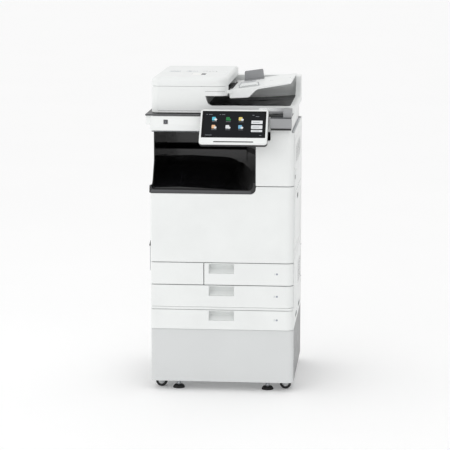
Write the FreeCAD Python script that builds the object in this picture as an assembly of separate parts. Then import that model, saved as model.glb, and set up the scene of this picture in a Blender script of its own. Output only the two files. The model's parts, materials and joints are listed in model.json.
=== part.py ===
import FreeCAD, Part
import math
import os

# Floor-standing A3 colour photocopier: pedestal, main unit with scanner and control panel, document feeder.
# Millimetres. X runs to the operator's right, Y away from the operator, Z up from the floor. The shapes are
# drawn about the middle of the body's width, and moved at the end so that the origin lies on the floor under
# the middle of the whole machine.

os.makedirs("parts", exist_ok=True)

V = FreeCAD.Vector
UNIT = {"x": V(1, 0, 0), "y": V(0, 1, 0), "z": V(0, 0, 1)}

# ---------------------------------------------------------------------------------------------------------
# Driving dimensions
# ---------------------------------------------------------------------------------------------------------
body_width = 565.0
half = body_width / 2
front = -310.0            # face of the doors and drawers
rear = 298.0              # back of the rear cover
frame_rear = 235.0        # back of the frame's rear plate
skin = 3.0                # moulded cover
sheet = 2.5               # pressed steel
gap = 1.5                 # half of the seam between two covers' faces
left_corner = 8.0         # plan radius of the front left corner
right_corner = 28.0       # plan radius of the front right corner
fit = 0.05                # radial clearance of a turning shaft

pedestal_front = -302.0
pedestal_back = 273.0
pedestal_panel = 20.0
pedestal_bottom = 38.0
pedestal_top = 251.0
pedestal_floor = 80.0
pin_places = [(250.0, -228.0), (188.0, 250.0)]
pin_radius = 3.5
pin_height = 28.0

adjuster_places = {"left": (-178.0, -250.0), "right": (178.0, -250.0)}
adjuster_stem = 5.0
caster_places = [(-232.0, -232.0), (232.0, -232.0), (-232.0, 222.0), (232.0, 222.0)]
caster_stem = 5.0
caster_trail = 17.0
wheel_radius = 23.0
wheel_width = 20.0
axle_radius = 4.0
hinge_pin = 2.5           # radius of the doors' hinge pins

module_top = 331.2        # top of the third drawer's front
main_bottom = 341.2
drawer_step = 89.7        # from one drawer's bottom to the next one's
door_bottom = main_bottom + 2 * drawer_step
bin_bottom = 795.7
cover_seam = 825.8        # between the front door's right part and the cover over it
bin_top = 1037.3
bin_right = 130.6

drawer_bottoms = [main_bottom + drawer_step, main_bottom, pedestal_top]
drawer_tops = [door_bottom, main_bottom + drawer_step, module_top]
drawer_lefts = [-70.0, -half, -half]
tray_lefts = [-62.0, -262.0, -262.0]
tray_right = 232.0
tray_front = -266.0
tray_back = 212.0
tray_height = 66.0
front_thick = 20.0
handle_left = -52.0
handle_right = 47.6
handle_height = 41.7

door_axis = (-303.0, door_bottom + gap + 10.4)          # y, z
door_arms = [-250.0, 222.0]                             # left sides of the front door's hinge arms
side_door_axis = (275.0, 207.0)                         # x, y
bypass_axis = (277.0, 566.0)                            # x, z

reader_left = -301.6
reader_right = 273.0
reader_front = -301.0
reader_back = 290.0
reader_bottom = 1040.8
reader_top = 1104.3
glass = 3.0
button_place = (-221.0, 1075.0)
button_half = 7.0

panel_left = -80.5
panel_right = 183.0
panel_length = 161.0
panel_thick = 18.0
panel_tilt = 41.0
panel_foot = (-421.0, 1006.9)                           # y, z of its lower front edge
panel_axis = (-294.0, 1120.0)
panel_pin = 6.0
knuckle_radius = 11.5
base_left = 190.0
cheek_left = 240.0

feeder_bottom = 1108.0
feeder_front = -262.0
feeder_back = 283.0
feeder_lip = 27.0
feeder_seam = 103.5
feeder_height = 137.0
nose_bottom = 66.0
nose_corner = 42.0        # plan radius of the cover's front right corner and of the nose under it
cover_right = 17.0
cover_back = 222.0
cover_axis = (-279.0, feeder_bottom + 108.0)            # x, z
cover_posts = [-190.0, 150.0]                           # front sides of the cover's hinge posts
cover_pin = 2.0
tray_axis = (26.0, feeder_bottom + 80.0)
tray_slope = 8.0
tray_pin = 3.0
post_places = [-190.0, 190.0]
hinge_axis = (288.0, feeder_bottom + 12.0)              # y, z
feed_axis = (-20.0, feeder_bottom + 92.0)               # x, z

drum_places = [-170.0, -80.0, 10.0, 100.0]
drum_height = 620.0
drum_radius = 15.0
toner_places = [-195.0, -105.0, -15.0, 75.0]
heat_axis = (195.0, 880.0)
fixing_radius = 18.0
press_axis = (heat_axis[0] + 2 * fixing_radius + 0.4, heat_axis[1])
exit_axis = (146.0, 947.0)


# ---------------------------------------------------------------------------------------------------------
# Helpers
# ---------------------------------------------------------------------------------------------------------
def box(x0, x1, y0, y1, z0, z1):
    """Axis-aligned block between two corners."""
    return Part.makeBox(x1 - x0, y1 - y0, z1 - z0, V(x0, y0, z0))


def corner_points(before, corner, after, radius):
    """Start, middle and end of the arc that rounds one corner."""
    to_before = (before - corner).normalize()
    to_after = (after - corner).normalize()
    half_angle = to_before.getAngle(to_after) / 2
    reach = radius / math.tan(half_angle)
    bisector = (to_before + to_after).normalize()
    centre = corner + bisector * (radius / math.sin(half_angle))
    return corner + to_before * reach, centre - bisector * radius, corner + to_after * reach


def outline(points):
    """Closed wire through (u, v, radius) corners in the XY plane."""
    corners = [V(u, v, 0) for u, v, radius in points]
    count = len(points)
    turns = []
    for i in range(count):
        if points[i][2]:
            turns.append(corner_points(corners[i - 1], corners[i], corners[(i + 1) % count], points[i][2]))
        else:
            turns.append((corners[i], None, corners[i]))
    edges = []
    for i in range(count):
        start, middle, end = turns[i]
        following = turns[(i + 1) % count][0]
        if middle:
            edges.append(Part.Arc(start, middle, end).toShape())
        if (following - end).Length > 1e-6:
            edges.append(Part.LineSegment(end, following).toShape())
    return Part.Wire(edges)


def prism(points, axis, start, end):
    """Outline swept along an axis; u, v are x, y along z; x, z along y; and y, z along x."""
    face = Part.Face(outline(points))
    if axis == "y":
        face.rotate(V(0, 0, 0), V(1, 0, 0), 90)
    if axis == "x":
        face.rotate(V(0, 0, 0), V(1, 1, 1), 120)
    face.translate(UNIT[axis] * start)
    return face.extrude(UNIT[axis] * (end - start))


def rect(u0, u1, v0, v1, radii=0):
    """Rectangle's corners, from (u0, v0) round by (u1, v0), with one radius or four."""
    if not isinstance(radii, tuple):
        radii = (radii, radii, radii, radii)
    corners = [(u0, v0), (u1, v0), (u1, v1), (u0, v1)]
    return [(u, v, radius) for (u, v), radius in zip(corners, radii)]


def rod(axis, u, v, radius, start, end):
    """Cylinder along an axis through (u, v)."""
    places = {"z": V(u, v, start), "y": V(u, start, v), "x": V(start, u, v)}
    return Part.makeCylinder(radius, end - start, places[axis], UNIT[axis])


def fuse(first, *others):
    """One clean solid from touching shapes."""
    return first.fuse(list(others)).removeSplitter()


def cut(shape, *tools):
    """Shape with every tool taken out of it."""
    return shape.cut(list(tools))


def edges_on(shape, axis, value):
    """Edges that lie in the plane where the axis has that value."""
    found = []
    for edge in shape.Edges:
        bounds = edge.BoundBox
        low = getattr(bounds, axis.upper() + "Min")
        high = getattr(bounds, axis.upper() + "Max")
        if abs(low - value) < 0.01 and abs(high - value) < 0.01:
            found.append(edge)
    return found


def soften(shape, radius, axis, value):
    """Round every edge of the face that lies in a plane."""
    return shape.makeFillet(radius, edges_on(shape, axis, value))


def body_plan(back, z0, z1):
    """Body's plan outline as a block, with both front corners rounded."""
    return prism(rect(-half, half, front, back, (left_corner, right_corner, 0, 0)), "z", z0, z1)


def front_cover(points, z0, z1):
    """Front cover of an (x, z) outline: bent round the body's corners, with a softened face."""
    blank = prism(points, "y", front, front + front_thick)
    return blank.common(body_plan(front + 2 * right_corner, z0 - 1, z1 + 1))


def swing(shape, axis_point, axis, degrees):
    """Shape turned about a line."""
    turned = shape.copy()
    turned.rotate(axis_point, axis, degrees)
    return turned


# ---------------------------------------------------------------------------------------------------------
# Pedestal
# ---------------------------------------------------------------------------------------------------------
def pedestal_cabinet():
    """Sheet steel box, open to the front behind its panel, with a raised floor over the casters."""
    panel_back = pedestal_front + pedestal_panel
    plan = rect(-half, half, panel_back, pedestal_back, (0, 0, 8, 8))
    shell = prism(plan, "z", pedestal_bottom, pedestal_top)
    inner_x = half - sheet
    upper = box(-inner_x, inner_x, panel_back - 1, pedestal_back - sheet,
                pedestal_floor + skin, pedestal_top - sheet)
    lower = box(-inner_x, inner_x, panel_back + sheet, pedestal_back - sheet,
                pedestal_bottom - 1, pedestal_floor)
    holes = [rod("z", x, y, caster_stem + fit, pedestal_floor - 1, pedestal_floor + 5)
             for x, y in caster_places]
    for x, y in adjuster_places.values():
        holes.append(rod("z", x, y, adjuster_stem + 0.3, pedestal_floor - 1, pedestal_floor + 5))
    for x, y in pin_places:
        holes.append(rod("z", x, y, pin_radius, pedestal_top - 5, pedestal_top + 1))
    return cut(shell, upper, lower, *holes)


def pedestal_front_panel():
    """Moulded front with a rounded right corner and softened edges, hollow behind."""
    back = pedestal_front + pedestal_panel
    plan = rect(-half, half, pedestal_front, back, (6, 16, 0, 0))
    block = prism(plan, "z", pedestal_bottom, pedestal_top)
    block = soften(block, 3.0, "z", pedestal_top)
    pocket = box(-half + 10, half - 20, pedestal_front + skin, back + 1, pedestal_bottom + 6, pedestal_top - 8)
    return cut(block, pocket)


def locating_pins():
    """Two pins that hold the main unit in place on the pedestal."""
    pins = []
    for x, y in pin_places:
        stem = rod("z", x, y, pin_radius, pedestal_top - sheet, pedestal_top + pin_height)
        stem = stem.makeChamfer(1.5, edges_on(stem, "z", pedestal_top + pin_height))
        collar = rod("z", x, y, pin_radius + 3, pedestal_top - sheet - 4, pedestal_top - sheet)
        pins.append(fuse(stem, collar))
    return pins


def adjuster(side):
    """Screw-down foot: a rubber-faced pad on a threaded stem with a hexagonal flat."""
    x, y = adjuster_places[side]
    pad = Part.makeCone(24.0, 19.0, 11.0, V(x, y, 0))
    stem = rod("z", x, y, adjuster_stem, 10.0, 112.0)
    corners = [(x + 9 * math.cos(math.radians(a)), y + 9 * math.sin(math.radians(a)), 0)
               for a in range(0, 360, 60)]
    nut = prism(corners, "z", 14.0, 21.0)
    return fuse(pad, stem, nut)


def caster_fork(place):
    """Swivelling fork with its stem, trailing outwards from the swivel axis, and its fixed axle."""
    x, y = place
    outward = math.copysign(1, x)
    axle_x = x + outward * caster_trail
    stem = rod("z", x, y, caster_stem, 70.0, pedestal_floor + 8)
    race = rod("z", x, y, 17.0, 66.0, pedestal_floor - 2)
    cheek_gap = wheel_width / 2 + 0.8
    ends = sorted((x - outward * 10, axle_x + outward * 8))
    crown = box(ends[0], ends[1], y - cheek_gap - sheet, y + cheek_gap + sheet, 64.0, 67.0)
    cheeks = []
    for y0 in (y - cheek_gap - sheet, y + cheek_gap):
        profile = [(x - outward * 10, 67.0, 0), (x - outward * 10, 58.0, 4),
                   (axle_x - outward * 8, wheel_radius - 8, 6), (axle_x + outward * 8, wheel_radius - 8, 7),
                   (axle_x + outward * 8, 67.0, 0)]
        cheeks.append(prism(profile, "y", y0, y0 + sheet))
    reach = cheek_gap + sheet + 1.5
    axle = rod("y", axle_x, wheel_radius, axle_radius, y - reach, y + reach)
    return fuse(stem, race, crown, *cheeks, axle)


def caster_wheel(place):
    """Wheel with a rounded tread and a bore that runs on the fork's axle."""
    x, y = place
    axle_x = x + math.copysign(caster_trail, x)
    start = y - wheel_width / 2
    end = y + wheel_width / 2
    tyre = rod("y", axle_x, wheel_radius, wheel_radius, start, end)
    tyre = tyre.makeFillet(3.0, edges_on(tyre, "y", start) + edges_on(tyre, "y", end))
    bore = rod("y", axle_x, wheel_radius, axle_radius + fit, start - 1, end + 1)
    return cut(tyre, bore)


# ---------------------------------------------------------------------------------------------------------
# Main unit: frame and fixed covers
# ---------------------------------------------------------------------------------------------------------
def lower_module_case():
    """Case of the third drawer, open to the front, with holes for the pedestal's pins."""
    block = body_plan(rear, pedestal_top, main_bottom)
    front_space = box(-half - 1, half + 1, front - 1, front + front_thick + 1, pedestal_top - 1, module_top)
    shaved = box(-half - 1, half + 1, front - 1, front + 4, pedestal_top - 1, main_bottom + 1)
    room = box(-half + skin, half - skin, front, rear - skin, pedestal_top + skin, module_top)
    upper_room = box(-half + skin, half - skin, front + 30, rear - skin, module_top - 1, main_bottom - skin)
    holes = [rod("z", x, y, pin_radius + 1.5, pedestal_top - 1, pedestal_top + 5) for x, y in pin_places]
    return cut(block, front_space, shaved, room, upper_room, *holes)


def main_frame():
    """Welded steel frame: floor, shelves, side and rear plates, columns and the plate under the scanner."""
    side = half - 3.5
    inner_front = -280.0
    shelf_front = front + 44
    second_floor = main_bottom + drawer_step
    plates = [
        box(-side, side, inner_front, frame_rear, main_bottom, main_bottom + skin),
        box(-side, -side + skin, inner_front, frame_rear, main_bottom, bin_bottom - 1),
        box(-side, side, frame_rear - skin, frame_rear, main_bottom, bin_top),
        box(-side, 240.0, shelf_front, frame_rear, door_bottom - 3, door_bottom - 0.5),
        box(-side, 240.0, shelf_front, frame_rear, second_floor - 3, second_floor - 0.5),
        box(-74.0, -71.0, inner_front, frame_rear, second_floor - 3, door_bottom - 0.5),
        box(236.0, side, inner_front, inner_front + 16, main_bottom, bin_top),
        box(236.0, side, frame_rear - 17, frame_rear, main_bottom, bin_top),
        box(-side, -side + 30, frame_rear - 30, frame_rear, bin_bottom - 1, bin_top),
        box(-side, side, inner_front, frame_rear, bin_top - skin, bin_top),
        box(-side, bin_right + 6, inner_front, frame_rear, bin_bottom - 4, bin_bottom - 1),
        box(bin_right + 3, bin_right + 6, inner_front, frame_rear, bin_bottom - 4, bin_top),
    ]
    exit_slot = box(bin_right, bin_right + 10, -165.0, 165.0, 925.0, 970.0)
    y, z = door_axis
    for x in door_arms:
        arm = [(y - 4.5, z - 4.5, 4.4), (y + 30, z - 4.5, 3), (shelf_front + 1, door_bottom - 2, 0),
               (shelf_front + 40, door_bottom - 2, 0), (shelf_front + 40, z + 4.5, 4), (y - 4.5, z + 4.5, 4.4)]
        plates.append(prism(arm, "x", x, x + 6))
    x, y = side_door_axis
    lugs = [box(262.0, side, y - 7, frame_rear, low, low + 3.5) for low in (523.0, 1003.5)]
    bores = [rod("x", *door_axis, hinge_pin + fit, x - 1, x + 7) for x in door_arms]
    bores.append(rod("z", x, y, hinge_pin + fit, 520.0, 1010.0))
    return cut(fuse(*plates, *lugs), exit_slot, *bores)


def left_cover():
    """Cover of the left side: up to the output tray, and behind the tray up to the scanner."""
    lower = box(-half, -half + skin, front + front_thick + 2, rear - 14, main_bottom + 0.5, bin_bottom - 1)
    return fuse(lower, box(-half, -half + skin, 205.0, rear - 14, bin_bottom - 2, bin_top))


def right_cover():
    """Cover of the right side, with the opening for the side door."""
    plate = box(half - skin, half, front + right_corner + 1, rear - 14, main_bottom + 0.5, bin_top)
    opening = box(half - 10, half + 1, -263.0, 217.0, 528.0, 1002.0)
    return cut(plate, opening)


def rear_cover():
    """Tray-shaped rear cover with two fields of ventilation slots, an inlet window and screw holes."""
    bottom = main_bottom + 0.5
    block = prism(rect(-half, half, rear - 14, rear, (0, 0, 6, 6)), "z", bottom, bin_top)
    pocket = box(-half + skin, half - skin, rear - 15, rear - skin, bottom + skin, bin_top - skin)
    slots = [box(x, x + 90, rear - 10, rear + 1, z, z + 5)
             for x in (-210.0, 110.0) for z in (640.0 + 14 * k for k in range(9))]
    window = box(-217.0, -163.0, rear - 10, rear + 1, 383.0, 415.0)
    holes = [rod("y", x, z, 2.1, rear - 10, rear + 1) for x, z in screw_places()]
    return cut(block, pocket, window, *slots, *holes)


def screw_places():
    """Rear cover's screws, as (x, z)."""
    return [(x, z) for x in (-265.0, 0.0, 265.0) for z in (365.0, 690.0, 1015.0)]


def cover_screws():
    """Pan-head screws that hold the rear cover."""
    screws = []
    for x, z in screw_places():
        shank = rod("y", x, z, 2.0, rear - 9, rear)
        head = rod("y", x, z, 4.0, rear, rear + 2.2)
        head = head.makeFillet(1.2, edges_on(head, "y", rear + 2.2))
        screws.append(fuse(shank, head))
    return screws


def left_front_panel():
    """Fixed front panel to the left of the first drawer."""
    z0 = main_bottom + drawer_step + gap
    z1 = door_bottom - gap
    cover = front_cover(rect(-half, -73.0, z0, z1, 2), z0, z1)
    pocket = box(-half + 9, -77.0, front + skin, front + front_thick + 1, z0 + skin, z1 - skin)
    return cut(cover, pocket)


def upper_front_cover():
    """Cover to the right of the output tray, stepped at the top beside the control panel."""
    z0 = cover_seam + gap
    z1 = 1050.3
    points = [(bin_right + 2.2, z0, 3), (half, z0, 0), (half, z1, 0), (190.3, z1, 10),
              (190.3, 1006.0, 6), (bin_right + 2.2, 1006.0, 12)]
    cover = front_cover(points, z0, z1)
    pocket = box(bin_right + 6, half - 30, front + skin, front + front_thick + 1, z0 + skin, 1002.0)
    lip_space = box(100.0, half + 1, front + 7, front + 40, bin_top - 1, z1 + 1)
    return cut(cover, pocket, lip_space)


def tray_section(y, left_rise, middle_rise):
    """Section of the output tray's floor in the plane of one y."""
    left_end = -half + 1
    low = bin_bottom
    section = outline([(left_end, low, 0), (bin_right, low, 0), (bin_right, low + 8, 0), (95.0, low + 8, 30),
                       (10.0, low + middle_rise, 120), (-170.0, low + left_rise, 120),
                       (left_end, low + left_rise - 4, 0)])
    section.rotate(V(0, 0, 0), V(1, 0, 0), 90)
    section.translate(V(0, y, 0))
    return section


def output_tray():
    """Black moulding of the output space: rising floor, front bar, rear wall and side walls."""
    left_end = -half + 1
    low = bin_bottom
    wall_front = 200.0
    floor_front = -284.0
    floor_sections = [tray_section(floor_front, 22.0, 14.0), tray_section(wall_front, 92.0, 84.0)]
    floor = Part.makeLoft(floor_sections, True, True)
    bar = prism([(left_end - 5, low, 3), (bin_right, low, 19.8), (bin_right, low + 44, 0),
                 (bin_right - 8, low + 44, 0), (bin_right - 8, low + 13, 22), (left_end + 10, low + 13, 10),
                 (left_end + 2, low + 30, 1), (left_end - 4, low + 30, 1)],
                "y", -306.0, floor_front)
    back = box(left_end, bin_right, wall_front, wall_front + skin, low, bin_top - 4)
    ledge = prism([(wall_front - 26, low + 60, 0), (wall_front, low + 60, 0), (wall_front, low + 138, 0),
                   (wall_front - 26, low + 116, 12)],
                  "x", left_end, 60.0)
    right = box(bin_right - 2, bin_right + 1, floor_front, wall_front + skin, low, bin_top - 4)
    left = prism([(floor_front, low + 5, 0), (wall_front + skin, low + 5, 0),
                  (wall_front + skin, bin_top - 4, 0), (-191.0, bin_top - 4, 0), (-191.0, low + 112, 60),
                  (-246.0, low + 30, 40), (floor_front, low + 30, 0)],
                 "x", left_end, left_end + skin)
    slot = box(bin_right - 5, bin_right + 5, -160.0, 160.0, 930.0, 965.0)
    return cut(fuse(floor, bar, back, ledge, left, right), slot)


def side_grip():
    """Grip on the left side: a block under a slanting hood."""
    points = [(-half, 455.0, 0), (-305.0, 455.0, 5), (-305.0, 555.0, 1), (-307.0, 557.0, 1),
              (-307.0, 562.0, 3), (-298.0, 596.0, 5), (-half, 596.0, 0)]
    return prism(points, "y", -150.0, -60.0)


# ---------------------------------------------------------------------------------------------------------
# Main unit: doors and cassettes
# ---------------------------------------------------------------------------------------------------------
def front_door():
    """Front door: taller on the right, with a rounded inner corner and a chamfered heel."""
    z0 = door_bottom + gap
    left_top = bin_bottom - gap
    right_top = cover_seam - gap
    step_x = bin_right + 2.2
    points = [(-half, z0, 2), (half, z0, 0), (half, right_top, 0), (step_x, right_top, 5),
              (step_x, left_top, 22), (-half, left_top, 2)]
    door = front_cover(points, z0, right_top)
    low_pocket = box(-half + 9, half - 30, front + skin, front + front_thick + 1, z0 + 22, left_top - 4)
    high_pocket = box(step_x + 5, half - 30, front + skin, front + front_thick + 1, left_top - 5, right_top - 4)
    notches = [box(x - 2, x + 8, front + 2, front + front_thick + 1, z0 - 1, z0 + 23) for x in door_arms]
    back = front + front_thick
    corner = [(back - 5, z0 - 1, 0), (back + 1, z0 - 1, 0), (back + 1, z0 + 5, 0)]
    heel = prism(corner, "x", -half - 1, half + 1)
    pins = [rod("x", *door_axis, hinge_pin, x - 4, x + 10) for x in door_arms]
    return fuse(cut(door, low_pocket, high_pocket, heel, *notches), *pins)


def right_door():
    """Door of the right side, with a recess for the bypass tray and a pull near its front edge."""
    block = box(262.0, half, -260.0, 213.0, 531.0, 999.0)
    block = block.makeFillet(2.0, edges_on(block, "x", half))
    pull = prism(rect(half - 2, half + 5.5, 866.0, 884.0, (0, 3, 3, 0)), "y", -248.0, -205.0)
    pins = [rod("z", *side_door_axis, hinge_pin, low, low + 18) for low in (522.0, 990.0)]
    recess = box(266.0, half + 1, -193.0, 153.0, 554.0, 766.0)
    inside = box(261.0, half - skin, -256.0, 203.0, 772.0, 994.0)
    bore = rod("y", *bypass_axis, hinge_pin + fit, -198.0, 158.0)
    return cut(fuse(block, pull, *pins), recess, inside, bore)


def bypass_tray():
    """Fold-down tray for single sheets, dished on its inner side, with its two hinge pins."""
    plate = box(272.0, half - 0.5, -190.0, 150.0, 558.0, 762.0)
    dish = box(271.0, 279.0, -182.0, 142.0, 580.0, 754.0)
    pins = [rod("y", *bypass_axis, hinge_pin, y, y + 12) for y in (-197.0, 145.0)]
    return fuse(cut(plate, dish), *pins)


def cassette_front(index):
    """Drawer front with a scooped handle recess at its top edge."""
    z0 = drawer_bottoms[index] + gap
    z1 = drawer_tops[index] - gap
    cover = front_cover(rect(drawer_lefts[index], half, z0, z1, 0), z0, z1)
    rib = 5.0
    back = front + front_thick
    left_room = box(drawer_lefts[index] + 9, handle_left - rib, front + skin, back + 1, z0 + skin, z1 - skin)
    right_room = box(handle_right + rib, half - 30, front + skin, back + 1, z0 + skin, z1 - skin)
    bucket = box(handle_left - rib, handle_right + rib, front + 5, front + 42, z1 - handle_height - rib, z1)
    scoop = prism([(front - 1, z1 - handle_height, 0), (front + 10, z1 - handle_height, 8),
                   (front + 37, z1 - 22, 12), (front + 37, z1 - 3, 2), (front - 1, z1 - 3, 0)],
                  "x", handle_left, handle_right)
    rooms = [right_room] if index == 0 else [left_room, right_room]
    return cut(fuse(cover, bucket), scoop, *rooms)


def cassette_tray(index):
    """Open-topped paper tray with two lugs that hold the drawer front."""
    left = tray_lefts[index]
    bottom = drawer_bottoms[index] + 8
    top = bottom + tray_height
    tray = box(left, tray_right, tray_front, tray_back, bottom, top)
    room = box(left + skin, tray_right - skin, tray_front + skin, tray_back - skin, bottom + skin, top + 1)
    lugs = [box(x, x + 14, front + front_thick, tray_front, bottom, bottom + 12)
            for x in (tray_right - 14, handle_right + 20)]
    return cut(fuse(tray, *lugs), room)


# ---------------------------------------------------------------------------------------------------------
# Main unit: print engine
# ---------------------------------------------------------------------------------------------------------
def inner_cover():
    """Plate behind the front door with the ports of the toner containers."""
    plate = box(-272.0, 234.0, -284.0, -281.0, door_bottom + 30, bin_bottom - 6)
    ports = [prism(rect(x - 33.5, x + 33.5, 708.0, 784.0, 8), "y", -290.0, -275.0) for x in toner_places]
    return cut(plate, *ports)


def laser_unit():
    """Sealed case of the laser scanner, with four raised windows."""
    case = prism(rect(-235.0, 135.0, -200.0, 190.0, 12), "z", 532.0, 582.0)
    windows = [box(x - 12, x + 12, -180.0, 170.0, 581.0, 588.0) for x in drum_places]
    return fuse(case, *windows)


def drum(x):
    """Photoconductor drum with its end journals and drive flange."""
    barrel = rod("y", x, drum_height, drum_radius, -240.0, 170.0)
    flange = rod("y", x, drum_height, drum_radius + 3, 170.0, 180.0)
    journal = rod("y", x, drum_height, 5.0, -252.0, 196.0)
    return fuse(barrel, flange, journal)


def transfer_belt():
    """Endless belt of the transfer unit."""
    outer = prism(rect(-215.0, 150.0, 648.0, 690.0, 20.9), "y", -230.0, 165.0)
    inner = prism(rect(-213.5, 148.5, 649.5, 688.5, 19.4), "y", -231.0, 166.0)
    return cut(outer, inner)


def toner_containers():
    """Four long toner containers with a gripped front end."""
    containers = []
    for x in toner_places:
        tank = prism(rect(x - 31, x + 31, 710.0, 782.0, 8), "y", -280.0, 54.0)
        grip = prism(rect(x - 22, x + 22, 722.0, 770.0, 8), "y", -287.0, -280.0)
        containers.append(fuse(tank, grip))
    return containers


def fixing_roller(place):
    """Roller of the fixing unit on its shaft."""
    x, z = place
    sleeve = rod("y", x, z, fixing_radius, -225.0, 190.0)
    shaft = rod("y", x, z, 8.0, -240.0, 205.0)
    return fuse(sleeve, shaft)


def exit_roller():
    """Shaft with four soft rollers that push the sheet out over the tray."""
    x, z = exit_axis
    shaft = rod("y", x, z, 4.0, -170.0, 170.0)
    rollers = [rod("y", x, z, 9.0, y - 12, y + 12) for y in (-120.0, -45.0, 45.0, 120.0)]
    return fuse(shaft, *rollers)


def circuit_boards():
    """Main board with its parts, and the power supply with the mains inlet."""
    board = box(-150.0, 110.0, 240.0, 242.0, 560.0, 860.0)
    chips = [box(x, x + 38, 242.0, 246.0, z, z + 38) for x in (-110.0, 20.0) for z in (600.0, 700.0, 790.0)]
    sink = box(-40.0, 0.0, 242.0, 262.0, 690.0, 740.0)
    supply = box(-235.0, -90.0, 240.0, 276.0, 375.0, 520.0)
    inlet = prism(rect(-215.0, -165.0, 385.0, 413.0, 4), "y", 276.0, rear - 0.5)
    blades = prism(rect(-207.0, -173.0, 389.0, 409.0, 3), "y", rear - 16, rear)
    return [fuse(board, *chips, sink), cut(fuse(supply, inlet), blades)]


# ---------------------------------------------------------------------------------------------------------
# Scanner and control panel
# ---------------------------------------------------------------------------------------------------------
def scanner_housing():
    """Scanner's tub, with sockets for the feeder's hinge posts and a hole for the power button."""
    top = reader_top - 5
    outside = rect(-half, reader_right - 2, reader_front, reader_back, (6, 10, 6, 6))
    tub = prism(outside, "z", reader_bottom, top)
    wing = box(reader_left + 2.6, -half + 10, reader_front + 8, reader_back - 6, reader_bottom + 22, top)
    room = box(-half + 4, reader_right - 5, reader_front + 8, reader_back - 30, reader_bottom + skin, top + 1)
    x, z = button_place
    hole = box(x - button_half - 0.4, x + button_half + 0.4, reader_front - 1, reader_front + 9,
               z - button_half - 0.4, z + button_half + 0.4)
    sockets = [rod("z", post, 276.0, 8.4, reader_bottom + 4, top + 1) for post in post_places]
    return cut(fuse(tub, wing), room, hole, *sockets)


def scanner_top_frame():
    """Top plate of the scanner, with rebates for the two glasses."""
    plate = prism(rect(reader_left, reader_right, reader_front - 2, reader_back + 2, (6, 8, 6, 6)),
                  "z", reader_top - 5, reader_top)
    tools = []
    for x0, x1 in ((-205.0, 235.0), (-258.0, -232.0)):
        tools.append(box(x0 - 0.3, x1 + 0.3, -165.3, 145.3, reader_top - glass, reader_top + 1))
        tools.append(box(x0 + 5, x1 - 5, -160.0, 140.0, reader_top - 6, reader_top))
    for post in post_places:
        tools.append(rod("z", post, 276.0, 9.0, reader_top - 6, reader_top + 1))
    return cut(plate, *tools)


def platen_glass():
    """Platen glass and the narrow glass that sheets from the feeder pass over."""
    return [box(x0, x1, -165.0, 145.0, reader_top - glass, reader_top)
            for x0, x1 in ((-205.0, 235.0), (-258.0, -232.0))]


def scan_carriage():
    """Carriage that holds the lamp and lens, in its home place under the narrow glass."""
    block = prism([(-262.0, 1056.0, 3), (-232.0, 1056.0, 3), (-232.0, 1088.0, 3), (-240.0, 1092.0, 2),
                   (-262.0, 1092.0, 3)], "y", -190.0, 170.0)
    slot = box(-252.0, -248.0, -165.0, 145.0, 1084.0, 1093.0)
    return cut(block, slot)


def power_button():
    """Sprung power button with its stem."""
    x, z = button_place
    cap = box(x - button_half, x + button_half, reader_front - 1.5, reader_front + 5, z - button_half,
              z + button_half)
    cap = soften(cap, 1.0, "y", reader_front - 1.5)
    return fuse(cap, rod("y", x, z, 3.0, reader_front + 5, reader_front + 12))


def panel_base():
    """Bracket on the scanner's front right, with a cheek and the pin that the panel turns on."""
    y, z = panel_axis
    nose = reader_front - 45
    back = reader_front - 2.2
    block = prism([(nose, 1057.0, 10), (back, 1057.0, 0), (back, 1098.0, 0), (nose, 1098.0, 5)],
                  "x", base_left, reader_right)
    cheek = prism([(nose + 14, 1097.0, 0), (back, 1097.0, 0), (back, reader_top + 0.5, 0),
                   (y + 15, reader_top + 0.5, 0), (y + 15, z + 12, 8), (nose + 14, z + 12, 16)],
                  "x", cheek_left, reader_right)
    pin = rod("x", y, z, panel_pin, panel_right + 6, cheek_left + 2)
    return fuse(block, cheek, pin)


def tilted(shape):
    """Panel piece drawn upright with its lower front edge at the origin, put in its place."""
    placed = swing(shape, V(0, 0, 0), V(1, 0, 0), -panel_tilt)
    placed.translate(V(0, panel_foot[0], panel_foot[1]))
    return placed


def screen_outline(inset):
    """Screen's outline on the panel."""
    return rect(-73.2 + inset, 175.2 - inset, 28.0 + inset, 153.0 - inset, 2)


def panel_housing():
    """Control panel's case with the tube that it tilts on."""
    slab = prism(rect(panel_left, panel_right, 0.0, panel_length, 12), "y", 0.0, panel_thick)
    slab = slab.makeFillet(4.0, edges_on(slab, "y", 0.0) + edges_on(slab, "y", panel_thick))
    case = cut(tilted(slab), tilted(prism(screen_outline(0), "y", -1.0, 2.0)))
    y, z = panel_axis
    knuckle = rod("x", y, z, knuckle_radius, panel_right - 38, cheek_left - 0.5)
    bore = rod("x", y, z, panel_pin + fit, panel_right + 2, cheek_left + 1)
    return cut(fuse(case, knuckle), bore)


def panel_screen():
    """Touch screen's cover glass."""
    return tilted(prism(screen_outline(0.2), "y", 0.5, 2.0))


# ---------------------------------------------------------------------------------------------------------
# Document feeder
# ---------------------------------------------------------------------------------------------------------
def feeder_plan(z0, z1):
    """Feeder's plan outline as a block."""
    plan = rect(-half, half, feeder_front, feeder_back, (30, 26, 12, 12))
    return prism(plan, "z", feeder_bottom + z0, feeder_bottom + z1)


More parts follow.
